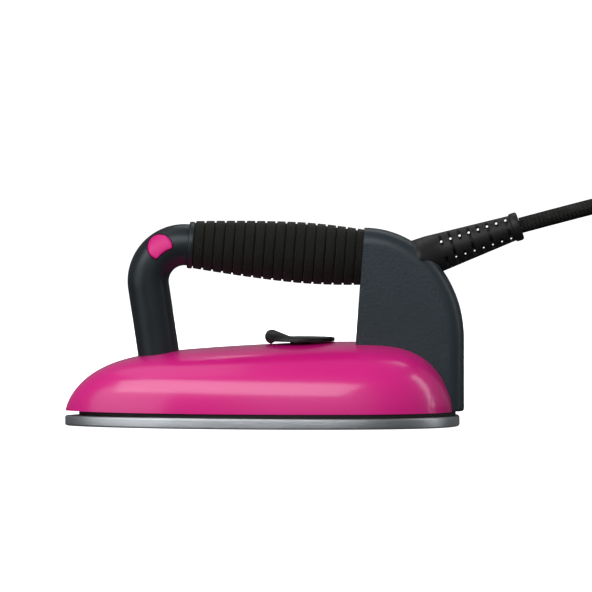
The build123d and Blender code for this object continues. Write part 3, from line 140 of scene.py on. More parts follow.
class Skin:
    """One piece's skin: grids of points joined by faces, with a UV for each corner."""

    def __init__(self) -> None:
        """Starts with no points."""
        self.points: list[np.ndarray] = []
        self.faces: list[list[int]] = []
        self.corners: list[np.ndarray] = []
        self.total = 0

    def grid(self, points: np.ndarray, uv: np.ndarray | None = None, loop: bool = True,
             capped: tuple[bool, bool] = (False, False)) -> None:
        """Adds a grid of points and the quads between them.

        Args:
            points: rows by columns by three.
            uv: rows by columns by two, the last column's next value being one step on.
            loop: whether the last column joins the first.
            capped: whether the first and the last row are closed by one flat face.
        """
        rows, cols = points.shape[:2]
        if uv is None:
            uv = np.zeros((rows, cols, 2))
        index = np.arange(rows * cols).reshape(rows, cols) + self.total
        if loop:
            index = np.concatenate([index, index[:, :1]], axis=1)
            uv = np.concatenate([uv, 2 * uv[:, -1:] - uv[:, -2:-1]], axis=1)
        quads = np.stack([index[:-1, :-1], index[:-1, 1:], index[1:, 1:], index[1:, :-1]], axis=-1)
        quad_uv = np.stack([uv[:-1, :-1], uv[:-1, 1:], uv[1:, 1:], uv[1:, :-1]], axis=-2)
        self.points.append(points.reshape(-1, 3))
        self.faces += quads.reshape(-1, 4).tolist()
        self.corners.append(quad_uv.reshape(-1, 2))
        for row, wanted in zip((0, -1), capped):
            if wanted:
                count = index.shape[1] - (1 if loop else 0)
                self.faces.append(index[row, :count].tolist())
                self.corners.append(uv[row, :count])
        self.total += rows * cols

    @classmethod
    def of(cls, points: np.ndarray, uv: np.ndarray | None = None, loop: bool = True,
           capped: tuple[bool, bool] = (False, False)) -> "Skin":
        """A new skin of one grid, whose arguments are those of grid."""
        skin = cls()
        skin.grid(points, uv, loop, capped)
        return skin

    def face(self, points: np.ndarray, v: float) -> None:
        """Adds one flat face of many corners.

        Args:
            points: the corners in order.
            v: the second UV value of every corner.
        """
        count = len(points)
        self.points.append(points)
        self.faces.append(list(range(self.total, self.total + count)))
        self.corners.append(np.stack([np.zeros(count), np.full(count, v)], axis=-1))
        self.total += count

    def mesh(self, name: str, sharp: float = 40.0) -> bpy.types.Mesh:
        """Writes the skin as a mesh in metres, doubles merged and faces outwards.

        Args:
            name: the mesh's name.
            sharp: edges above this angle in degrees are shaded sharp.

        Returns:
            The new mesh.
        """
        mesh = bpy.data.meshes.new(name)
        mesh.from_pydata((np.concatenate(self.points) * MM).tolist(), [], self.faces)
        layer = mesh.uv_layers.new(name="UVMap")
        layer.data.foreach_set("uv", np.concatenate(self.corners).astype(np.float32).ravel())
        work = bmesh.new()
        work.from_mesh(mesh)
        bmesh.ops.remove_doubles(work, verts=work.verts, dist=MERGE_DISTANCE)
        bmesh.ops.dissolve_degenerate(work, edges=work.edges, dist=FLAT_EDGE)
        bmesh.ops.recalc_face_normals(work, faces=work.faces)
        work.to_mesh(mesh)
        work.free()
        shade(mesh, sharp)
        return mesh


def shade(mesh: bpy.types.Mesh, sharp: float) -> None:
    """Shades a mesh smooth, with edges above an angle in degrees sharp."""
    mesh.polygons.foreach_set("use_smooth", np.ones(len(mesh.polygons), bool))
    mesh.set_sharp_from_angle(angle=math.radians(sharp))


def lathe(axes: Axes, profile: np.ndarray, sides: int) -> tuple[np.ndarray, np.ndarray]:
    """A profile spun about an axis: a point is along the axis at s and r out at angle a.

    Args:
        axes: the axis.
        profile: rows of (distance along, radius).
        sides: points round the axis.

    Returns:
        The grid of points, and UVs of the turned share and the distance along.
    """
    angle = ring_angles(sides)[None, :]
    along = np.broadcast_to(profile[:, :1], (len(profile), sides))
    across, up = profile[:, 1:] * np.cos(angle), profile[:, 1:] * np.sin(angle)
    uv = np.stack([np.broadcast_to(angle / (2 * math.pi), along.shape), along], axis=-1)
    return axes.place(along, across, up), uv


def rounding(centre: tuple[float, float], radius: float, start: float, end: float,
             steps: int = 5) -> np.ndarray:
    """Points of an arc, from a start to an end angle in degrees."""
    angle = np.radians(np.linspace(start, end, steps))
    return np.stack([centre[0] + radius * np.cos(angle), centre[1] + radius * np.sin(angle)], axis=-1)


def solid(name: str, mesh: bpy.types.Mesh) -> bpy.types.Object:
    """Links a new object that holds a mesh."""
    made = bpy.data.objects.new(name, mesh)
    bpy.context.scene.collection.objects.link(made)
    return made


def cut(piece: bpy.types.Object, cutters: Sequence[Skin]) -> None:
    """Takes closed skins away from a piece, and drops the cutters.

    Args:
        piece: the piece to cut.
        cutters: closed skins.
    """
    tools = [solid(f"cutter_{i}", cutter.mesh("cutter")) for i, cutter in enumerate(cutters)]
    for tool in tools:
        modifier = piece.modifiers.new("cut", "BOOLEAN")
        modifier.operation, modifier.solver, modifier.object = "DIFFERENCE", "EXACT", tool
    graph = bpy.context.evaluated_depsgraph_get()
    finished = bpy.data.meshes.new_from_object(piece.evaluated_get(graph))
    piece.modifiers.clear()
    piece.data = finished
    shade(finished, CUT_SHARP)
    for tool in tools:
        bpy.data.objects.remove(tool)


def bar(start: Sequence[float], end: Sequence[float], radius: float, sides: int) -> np.ndarray:
    """Both end rings of a round bar between two points.

    Args:
        start: the middle of the first ring.
        end: the middle of the second ring.
        radius: the bar's radius.
        sides: points round it.

    Returns:
        Two rows of points.
    """
    first, last = np.array(start, float), np.array(end, float)
    along = unit(last - first)
    helper = np.array([0.0, 0.0, 1.0]) if abs(along[2]) < 0.9 else np.array([0.0, 1.0, 0.0])
    right = unit(np.cross(along, helper))
    other = np.cross(along, right)
    angle = ring_angles(sides)[:, None]
    ring = radius * (np.cos(angle) * right + np.sin(angle) * other)
    return np.stack([first + ring, last + ring])


# ----------------------------------------------------------------- node maths
class Num:
    """A number that flows between shader nodes, with Python's arithmetic on it."""

    def __init__(self, graph: "Graph", socket: bpy.types.NodeSocket) -> None:
        """Wraps one output socket of a graph."""
        self.graph = graph
        self.socket = socket

    def op(self, operation: str, *others: "Num | float") -> "Num":
        """One Math node on this number and others."""
        inputs = {i: value for i, value in enumerate((self, *others))}
        return self.graph.number("ShaderNodeMath", {"operation": operation}, inputs)

    def __add__(self, other: "Num | float") -> "Num":
        """Sum."""
        return self.op("ADD", other)

    __radd__ = __add__

    def __mul__(self, other: "Num | float") -> "Num":
        """Product."""
        return self.op("MULTIPLY", other)

    __rmul__ = __mul__

    def __sub__(self, other: "Num | float") -> "Num":
        """Difference."""
        return self.op("SUBTRACT", other)

    def __rsub__(self, other: float) -> "Num":
        """Difference from a plain number."""
        return self.op("MULTIPLY", -1.0) + other

    def __truediv__(self, other: "Num | float") -> "Num":
        """Quotient."""
        return self.op("DIVIDE", other)

    def fract(self) -> "Num":
        """What is left after the whole part."""
        return self.op("FRACT")

    def floor(self) -> "Num":
        """The whole part."""
        return self.op("FLOOR")

    def sine(self) -> "Num":
        """Sine of the number in radians."""
        return self.op("SINE")

    def above(self, limit: "Num | float") -> "Num":
        """One where the number is above a limit, zero elsewhere."""
        return self.op("GREATER_THAN", limit)

    def clamped(self) -> "Num":
        """The number kept between zero and one."""
        return self.op("MAXIMUM", 0.0).op("MINIMUM", 1.0)


class Graph:
    """The node tree of one material."""

    def __init__(self, name: str) -> None:
        """Starts a material with a lone output node."""
        self.material = bpy.data.materials.new(name)
        self.material.use_nodes = True
        self.tree = self.material.node_tree
        self.tree.nodes.clear()
        self.output = self.tree.nodes.new("ShaderNodeOutputMaterial")

    def node(self, kind: str, settings: dict[str, Any], inputs: dict[int | str, Any]) -> bpy.types.Node:
        """Adds a node.

        Args:
            kind: the node's type.
            settings: attributes, set before anything else.
            inputs: value, socket or Num of each named or numbered input.

        Returns:
            The new node.
        """
        made = self.tree.nodes.new(kind)
        for key, value in settings.items():
            setattr(made, key, value)
        for key, value in inputs.items():
            if isinstance(value, Num):
                value = value.socket
            if isinstance(value, bpy.types.NodeSocket):
                self.tree.links.new(value, made.inputs[key])
            else:
                made.inputs[key].default_value = value
        return made

    def number(self, kind: str, settings: dict[str, Any], inputs: dict[int | str, Any],
               output: int = 0) -> Num:
        """Adds a node and wraps one of its outputs as a number."""
        return Num(self, self.node(kind, settings, inputs).outputs[output])

    def place(self, stretch: tuple[float, float, float] = (1.0, 1.0, 1.0)) -> bpy.types.NodeSocket:
        """Object coordinates in metres, scaled along each axis."""
        coords = self.node("ShaderNodeTexCoord", {}, {}).outputs["Object"]
        return self.node("ShaderNodeMapping", {}, {"Vector": coords, "Scale": stretch}).outputs[0]

    def uv(self) -> tuple[Num, Num]:
        """The two values of the piece's own UV map."""
        coords = self.node("ShaderNodeUVMap", {"uv_map": "UVMap"}, {}).outputs[0]
        parts = self.node("ShaderNodeSeparateXYZ", {}, {0: coords})
        return Num(self, parts.outputs[0]), Num(self, parts.outputs[1])

    def vector(self, x: "Num | float", y: "Num | float", z: "Num | float" = 0.0) -> bpy.types.NodeSocket:
        """A vector from three numbers."""
        return self.node("ShaderNodeCombineXYZ", {}, {0: x, 1: y, 2: z}).outputs[0]

    def noise(self, vector: bpy.types.NodeSocket, scale: float, detail: float = 2.0) -> Num:
        """Smooth noise from zero to one."""
        inputs = {"Vector": vector, "Scale": scale, "Detail": detail}
        return self.number("ShaderNodeTexNoise", {}, inputs)

    def mix(self, share: Num, first: Any, second: Any) -> bpy.types.NodeSocket:
        """A colour between two colours."""
        made = self.node("ShaderNodeMix", {"data_type": "RGBA"}, {0: share, 6: first, 7: second})
        return made.outputs[2]

    def bump(self, height: Num, depth: float, strength: float = 1.0) -> bpy.types.NodeSocket:
        """A normal bent by a height, whose unit is worth depth metres."""
        inputs = {"Height": height, "Distance": depth, "Strength": strength}
        return self.node("ShaderNodeBump", {}, inputs).outputs[0]

    def finish(self, inputs: dict[str, Any]) -> bpy.types.Material:
        """Closes the material with its surface shader."""
        shader = self.node("ShaderNodeBsdfPrincipled", {}, inputs)
        self.tree.links.new(shader.outputs[0], self.output.inputs["Surface"])
        return self.material


Colour = tuple[float, float, float, float]
WHITE: Colour = (1.0, 1.0, 1.0, 1.0)
COOL: Colour = (0.82, 0.93, 1.0, 1.0)


def screen(code: str) -> Colour:
    """Linear colour from a screen colour code such as d82782."""
    parts = [int(code[i:i + 2], 16) / 255 for i in (0, 2, 4)]
    linear = [p / 12.92 if p <= 0.04045 else ((p + 0.055) / 1.055) ** 2.4 for p in parts]
    return (linear[0], linear[1], linear[2], 1.0)


# ------------------------------------------------------------------- finishes
@dataclass(frozen=True)
class Moulded:
    """Moulded plastic or rubber: a slightly mottled colour and a fine moulded grain."""

    name: str
    dark: str
    light: str
    rough: float = 0.42
    rough_spread: float = 0.08
    grain: float = 1400.0
    grain_depth: float = 0.00002
    coat: float = 0.0
    coat_rough: float = 0.1
    specular: float = 0.5
    tint: Colour = WHITE

    def material(self) -> bpy.types.Material:
        """Builds the finish."""
        graph = Graph(self.name)
        spot = graph.place()
        cloud = graph.noise(spot, 35.0, 3.0)
        grain = graph.noise(spot, self.grain, 3.0)
        return graph.finish({
            "Base Color": graph.mix(cloud, screen(self.dark), screen(self.light)),
            "Roughness": cloud * self.rough_spread + (self.rough - self.rough_spread / 2),
            "Normal": graph.bump(grain, self.grain_depth),
            "Coat Weight": self.coat,
            "Coat Roughness": self.coat_rough,
            "Specular IOR Level": self.specular,
            "Specular Tint": self.tint,
        })


@dataclass(frozen=True)
class GrainedSide:
    """Housing plastic: leather-like grain on the flat side, smooth satin on the border."""

    name: str
    dark: str
    light: str
    grain: float = 760.0
    grain_depth: float = 0.00034

    def material(self) -> bpy.types.Material:
        """Builds the finish; the second UV value is one on the smooth border."""
        graph = Graph(self.name)
        border = graph.uv()[1].clamped()
        spot = graph.place()
        cells = graph.number("ShaderNodeTexVoronoi", {"feature": "SMOOTH_F1"},
                             {"Vector": spot, "Scale": self.grain})
        fine = graph.noise(spot, self.grain * 2.2, 3.0)
        height = (cells * 0.7 + fine * 0.5) * (1.0 - border * 0.96)
        cloud = graph.noise(spot, 40.0, 3.0)
        return graph.finish({
            "Base Color": graph.mix(cloud, screen(self.dark), screen(self.light)),
            "Roughness": 0.56 - border * 0.2 + cloud * 0.06,
            "Normal": graph.bump(height, self.grain_depth),
            "Specular IOR Level": 0.55,
            "Specular Tint": COOL,
        })


@dataclass(frozen=True)
class BrushedRim:
    """Ground and brushed metal whose marks run along the rim, the first UV value."""

    name: str
    dark: str
    light: str
    along: float = 26.0
    across: float = 5200.0
    rough: float = 0.48

    def material(self) -> bpy.types.Material:
        """Builds the finish."""
        graph = Graph(self.name)
        run, rise = graph.uv()
        streak = graph.noise(graph.vector(run * self.along, rise * (self.across * MM)), 1.0, 4.0)
        patch = graph.noise(graph.vector(run * self.along * 0.2, rise * 0.35), 1.0, 2.0)
        tone = (streak * 0.75 + patch * 0.45 - 0.1).clamped()
        return graph.finish({
            "Base Color": graph.mix(tone, screen(self.dark), screen(self.light)),
            "Metallic": 1.0,
            "Roughness": streak * 0.22 + (self.rough - 0.08),
            "Normal": graph.bump(streak, 0.00003),
            "Anisotropic": 0.75,
            "Anisotropic Rotation": 0.25,
        })


@dataclass(frozen=True)
class PlainMetal:
    """Small metal parts: a fine random finish with faint tarnish."""

    name: str
    dark: str
    light: str
    rough: float = 0.32

    def material(self) -> bpy.types.Material:
        """Builds the finish."""
        graph = Graph(self.name)
        spot = graph.place()
        cloud = graph.noise(spot, 180.0, 4.0)
        marks = graph.noise(graph.place((1.0, 1.0, 14.0)), 900.0, 3.0)
        return graph.finish({
            "Base Color": graph.mix(cloud, screen(self.dark), screen(self.light)),
            "Metallic": 1.0,
            "Roughness": marks * 0.2 + (self.rough - 0.1),
            "Normal": graph.bump(marks, 0.00001),
        })


@dataclass(frozen=True)
class FoamSleeve:
    """Soft grip sleeve: dull rubber foam with open pores, smoother rib tops, and painted shade darkening the
    grooves between the ribs.
    """

    name: str
    dark: str
    light: str
    pores: float = 1500.0

    def material(self) -> bpy.types.Material:
        """Builds the finish; the second UV value is the height on a rib, zero in a groove."""
        graph = Graph(self.name)
        spot = graph.place()
        pores = graph.number("ShaderNodeTexVoronoi", {}, {"Vector": spot, "Scale": self.pores})
        cloud = graph.noise(spot, 60.0, 4.0)
        groove_shade_and_rub = graph.uv()[1].clamped()
        # The colour is darker down in the grooves and lighter on the rib tops: painted shade in the grooves.
        tone = (cloud * 0.6 + groove_shade_and_rub * 0.4).clamped()
        return graph.finish({
            "Base Color": graph.mix(tone, screen(self.dark), screen(self.light)),
            "Roughness": 0.92 - groove_shade_and_rub * 0.1,
            "Normal": graph.bump(pores + cloud * 0.5, 0.00012),
            "Specular IOR Level": 0.25,
            "Sheen Weight": 0.06,
            "Sheen Roughness": 0.5,
        })


@dataclass(frozen=True)
class BraidedJacket:
    """Woven cord jacket: strands that cross at both slants, over and under in turn, with painted shade between
    the strands.
    """

    name: str
    dark: str
    light: str
    fleck: str
    carriers: int = 12
    strand: float = 2.36
    yarns: float = 18.0

    def material(self) -> bpy.types.Material:
        """Builds the finish; UVs are the share of a turn and the millimetres along."""
        graph = Graph(self.name)
        turn, run = graph.uv()
        rising = turn * float(self.carriers) + run / self.strand
        falling = turn * float(self.carriers) - run / self.strand
        over = ((rising.floor() + falling.floor()) * 0.5).fract().above(0.25)
        ridge_a = (falling.fract() * math.pi).sine()
        ridge_b = (rising.fract() * math.pi).sine()
        ridge = ridge_a * over + ridge_b * (1.0 - over)
        yarn = ((rising * over + falling * (1.0 - over)) * self.yarns).sine()
        patch = graph.noise(graph.vector(turn * 1.5, run * 0.045), 1.0, 3.0)
        worn = ((patch - 0.5) * 5.0).clamped() * ridge
        # Each strand is lighter on its crest and darker down its edges where it dips under its neighbours:
        # painted shade between the strands.
        base = graph.mix(ridge, screen(self.dark), screen(self.light))
        return graph.finish({
            "Base Color": graph.mix(worn * 0.7, base, screen(self.fleck)),
            "Roughness": 0.78 - ridge * 0.12,
            "Normal": graph.bump(ridge + yarn * 0.06, 0.00035),
            "Specular IOR Level": 0.35,
        })


class Finishes:
    """Every finish of the iron, made once and kept by the record's slot name."""

    def __init__(self) -> None:
        """Builds the materials."""
        finishes: dict[str, Any] = {
            "plate_metal": BrushedRim("brushed_plate", "b2bac2", "f8fafc"),
            "shield_plastic": Moulded("shield_black", "0f0b0b", "1a1413", rough=0.6),
            "cover_gloss": Moulded("cover_pink", "de1584", "e3198a", rough=0.3, rough_spread=0.03,
                                   grain=420.0, grain_depth=0.000006, coat=0.8, coat_rough=0.14, specular=0.5),
            "button_gloss": Moulded("button_pink", "d81c7e", "dd2486", rough=0.4, rough_spread=0.03,
                                    grain=700.0, grain_depth=0.000008, coat=0.04, coat_rough=0.2, specular=0.3),
            "handle_plastic": Moulded("handle_charcoal", "1a1e20", "1f2427", rough=0.36, grain=1500.0,
                                      grain_depth=0.000016, tint=COOL),
            "housing_plastic": GrainedSide("housing_charcoal", "232b2f", "2a3237"),
            "grip_foam": FoamSleeve("sleeve_foam", "0b0c09", "171914"),
            "dial_plastic": Moulded("dial_black", "101010", "171717", rough=0.38),
            "guard_rubber": Moulded("guard_rubber", "0d0e0d", "141614", rough=0.5, grain=1100.0,
                                    grain_depth=0.00003),
            "cord_braid": BraidedJacket("cord_braid", "090908", "181816", "3e3e39"),
            "connector_plastic": Moulded("connector_black", "17181a", "202225", rough=0.45),
            "brass": PlainMetal("turned_brass", "a8823e", "d2b060"),
            "steel": PlainMetal("plated_steel", "7d8084", "b4b7ba"),
            "sheath_steel": PlainMetal("element_sheath", "3f3a38", "6a625c", rough=0.45),
            "gasket_silicone": Moulded("gasket_red", "7a2a1c", "90382a", rough=0.6),
            "ceramic": Moulded("ceramic_white", "cfcabd", "e2ded2", rough=0.5),
            "board_green": Moulded("board_green", "14512a", "1c6636", rough=0.35),
            "lead_insulation": Moulded("lead_sleeve", "b5ae9f", "d0cabc", rough=0.7, grain=2600.0,
                                       grain_depth=0.00008),
            "pipe_silicone": Moulded("pipe_silicone", "b8b8b2", "cdcdc8", rough=0.35),
        }
        self.made = {slot: finish.material() for slot, finish in finishes.items()}

    def dress(self, piece: bpy.types.Object, slot: str) -> None:
        """Gives a piece the finish of a slot."""
        piece.data.materials.clear()
        piece.data.materials.append(self.made[slot])


@dataclass
class Workshop:
    """What every sub-assembly needs to make, dress and seat its pieces."""

    finishes: Finishes
    nodes: dict[str, bpy.types.Object]
    slots: dict[str, str]

    def make(self, name: str, skin: Skin, body: Body, *nodes: str, sharp: float = 40.0,
             cutters: Sequence[Skin] = ()) -> bpy.types.Object:
        """Makes a piece, dresses it, seats it on its body and lets it stand for its nodes.

        Args:
            name: the piece's name.
            skin: its surface.
            body: the rigid body that it moves with.
            nodes: the nodes that it stands for; the first gives its material slot.
            sharp: edges above this angle in degrees are shaded sharp.
            cutters: closed skins that are taken away from it.

        Returns:
            The finished object.
        """
        piece = solid(name, skin.mesh(name, sharp))
        if cutters:
            cut(piece, cutters)
        slot = self.slots[nodes[0]]
        self.finishes.dress(piece, slot)
        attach(piece, body.value)
        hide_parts(*nodes)
        LOG.info("%s: %d faces, on %s", name, len(piece.data.polygons), body.value)
        return piece

    def span(self, node: str) -> tuple[np.ndarray, np.ndarray]:
        """Lowest and highest corner of a node, in millimetres."""
        low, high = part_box(node)
        return np.array(low) / MM, np.array(high) / MM


# -------------------------------------------------------------- plan and cover
@dataclass(frozen=True)
class Plan:
    """Iron-shaped outline: a full nose before the widest line, a squarish heel behind it."""

    widest: float
    front: float
    heel: float
    width: float
    nose_power: float = 0.68
    heel_power: float = 2.5

    def outline(self, nose_in: float, side_in: float, heel_in: float, count: int = 288) -> np.ndarray:
        """Points round the outline.

        In front x falls with the sine of the turn and y is the half width times the
        cosine to twice the nose power; behind, both follow a superellipse.

        Args:
            nose_in: how far the nose is drawn in.
            side_in: how far each side is drawn in.
            heel_in: how far the heel is drawn in.
            count: points round the outline.

        Returns:
            Points of (x, y).
        """
        turn = ring_angles(count) + math.pi / 2
        across, along = np.cos(turn), np.sin(turn)
        half = self.width / 2 - side_in
        ahead = along >= 0
        behind = np.maximum(-along, 0.0) ** (2 / self.heel_power)
        nose = self.widest - (self.front - nose_in) * along
        x = np.where(ahead, nose, self.widest + (self.heel - heel_in) * behind)
        power = np.where(ahead, 2 * self.nose_power, 2 / self.heel_power)
        y = half * np.sign(across) * np.abs(across) ** power
        return np.stack([x, y], axis=-1)

    def ring(self, z: float, nose_in: float, side_in: float | None = None,
             heel_in: float | None = None) -> np.ndarray:
        """The outline at a height, drawn in alike or by its own amount at each part."""
        side = nose_in if side_in is None else side_in
        heel = nose_in if heel_in is None else heel_in
        flat = self.outline(nose_in, side, heel)
        return np.concatenate([flat, np.full((len(flat), 1), z)], axis=1)


@dataclass
class Sole:
    """Soleplate and the black shield above it."""

    shop: Workshop
    plan: Plan
    thick: float = 6.0
    edge: float = 1.2
    edge_ease: float = 0.15
    flat_inset: float = 6.0
    island: float = 8.0
    island_insets: tuple[float, float, float] = (24.0, 12.0, 18.0)
    port_radius: float = 1.25
    port_sink: float = 1.1
    ports_from: float = 59.0
    ports_to: float = 37.0
    shield_thick: float = 2.5
    shield_insets: tuple[float, float, float] = (8.0, 1.5, 2.25)
    shield_inner: tuple[float, float, float] = (22.0, 10.0, 17.0)
    shield_ease: float = 0.25

    def plate_skin(self) -> Skin:
        """Flat sole, rim with two quarter rounds, and the raised casting on top."""
        low = rounding((-self.edge, self.edge), self.edge, -90, 0)
        high = rounding((-self.edge, self.thick - self.edge), self.edge, 0, 90)
        rim = np.concatenate([low, high])
        rings = [self.plan.ring(0.0, self.flat_inset), self.plan.ring(0.0, self.edge + self.edge_ease)]
        rings += [self.plan.ring(z, -inset) for inset, z in rim]
        rings += [self.plan.ring(self.thick, self.edge + self.edge_ease)]
        rings += [self.plan.ring(z, *self.island_insets) for z in (self.thick, self.thick + self.island)]
        points = np.stack(rings)
        step = np.linalg.norm(np.diff(points[5], axis=0, append=points[5][:1]), axis=1)
        run = np.concatenate([[0.0], np.cumsum(step)[:-1]]) / 100
        rise = np.concatenate([[0.0], np.cumsum(np.linalg.norm(np.diff(points[:, 0], axis=0), axis=1))])
        uv = np.stack(np.broadcast_arrays(run[None, :], rise[:, None]), axis=-1)
        return Skin.of(points, uv, capped=CLOSED)

    def ports_skin(self) -> Skin:
        """Steam ports in rows that widen to the rear, with a countersink each, as one cutter."""
        skin = Skin()
        sunk, bore = self.port_radius + self.port_sink, self.port_radius
        profile = np.array([(-0.5, sunk), (0.6, bore), (3.5, bore)])
        for row in range(5):
            x = self.plan.widest - self.ports_from + row * (self.ports_from - self.ports_to) / 4
            for share in (-1.0, -0.5, 0.0, 0.5, 1.0):
                y = share * (10 + 1.4 * row)
                skin.grid(lathe(Axes((x, y, 0.0), 90.0), profile, 24)[0], capped=CLOSED)
        return skin

    def shield_skin(self) -> Skin:
        """Flat ring between plate and cover, closed like a frame."""
        low, top, ease = self.thick, self.thick + self.shield_thick, self.shield_ease
        outside = ((low, ease), (low + ease, 0.0), (top - ease, 0.0), (top, ease))
        rings = [self.plan.ring(z, *(inset + more for inset in self.shield_insets)) for z, more in outside]
        rings += [self.plan.ring(z, *self.shield_inner) for z in (top, low)]
        return Skin.of(np.stack([*rings, rings[0]]))

    def build(self) -> None:
        """Makes both pieces."""
        self.shop.make("soleplate_skin", self.plate_skin(), Body.IRON, "soleplate",
                       cutters=[self.ports_skin()])
        self.shop.make("shield_skin", self.shield_skin(), Body.IRON, "heat_shield")


@dataclass
class Cover:
    """Glossy shell: superellipse sections under a long sloping shoulder and a blunt tail."""

    shop: Workshop
    plan: Plan
    rim: float
    crown: float = 39.3
    nose_drop: float = 10.0
    nose_gap: float = 0.3
    heel_gap: float = 2.7
    margin: float = 1.0
    crown_behind: float = 14.0
    wall: float = 2.2
    section_power: float = 2.4
    let_out: float = 0.35
    nose_power: float = 8.25
    tail_power: float = 4.15
    stations: int = 260
    steps: int = 121

    def height(self, x: np.ndarray, inset: float) -> np.ndarray:
        """Height of the middle line above the rim.

        In front of the crown the height falls slowly, by the nose drop times the share
        to 1.5, and ends in a high-power curve; behind it a lower power ends it.

        Args:
            x: places along the iron.
            inset: how far the wall is drawn in.

        Returns:
            The height at each place.
        """
        top = self.plan.widest + self.crown_behind
        nose = self.plan.front - self.nose_gap + self.crown_behind - inset
        tail = self.plan.heel - self.heel_gap - self.crown_behind - inset
        fore = np.clip((top - x) / nose, 0.0, 1.0)
        aft = np.clip((x - top) / tail, 0.0, 1.0)
        crown = self.crown - inset
        ahead = (crown - self.nose_drop * fore ** 1.5) * (1 - fore ** self.nose_power) ** (1 / 1.5)
        behind = crown * (1 - aft ** self.tail_power) ** (1 / 1.5)
        return np.where(x < top, ahead, behind)

    def half_width(self, x: np.ndarray, inset: float) -> np.ndarray:
        """Half width at the rim: the plan's outline, drawn in.

        Args:
            x: places along the iron.
            inset: how far the wall is drawn in.

        Returns:
            The half width at each place.
        """
        half = self.plan.width / 2 - self.margin - inset
        fore = np.clip((self.plan.widest - x) / (self.plan.front - self.nose_gap - inset), 0.0, 1.0)
        aft = np.clip((x - self.plan.widest) / (self.plan.heel - self.heel_gap - inset), 0.0, 1.0)
        power = self.plan.heel_power
        ahead = half * (1 - fore * fore) ** self.plan.nose_power
        return np.where(x < self.plan.widest, ahead, half * (1 - aft ** power) ** (1 / power))

    def wall_grid(self, inset: float, stations: int, steps: int) -> np.ndarray:
        """One wall of the shell: stations from nose to tail by turns from rim to rim."""
        nose = self.plan.widest - self.plan.front + self.nose_gap + inset
        tail = self.plan.widest + self.plan.heel - self.heel_gap - inset
        share = np.sin(np.linspace(-math.pi / 2, math.pi / 2, stations))
        x = (nose + tail) / 2 + (tail - nose) / 2 * share
        turn = np.linspace(0.0, math.pi, steps)
        power = 2 / self.section_power
        across = np.sign(np.cos(turn)) * np.abs(np.cos(turn)) ** power
        up = np.sin(turn) ** power
        y = self.half_width(x, inset)[:, None] * across[None, :]
        z = self.rim + self.height(x, inset)[:, None] * up[None, :]
        return np.stack(np.broadcast_arrays(x[:, None], y, z), axis=-1)

    def build(self, post: Skin, housing: Skin, hub: Skin) -> None:
        """Makes the shell.

        Args:
            post: the handle's post, let out.
            housing: the rear housing, let out.
            hub: the dial's hub, let out.
        """
        outer = self.wall_grid(0.0, self.stations, self.steps)
        inner = self.wall_grid(self.wall, self.stations, self.steps)[:, ::-1]
        skin = Skin.of(np.concatenate([outer, inner], axis=1))
        self.shop.make("cover_skin", skin, Body.IRON, "cover", cutters=[post, housing, hub])


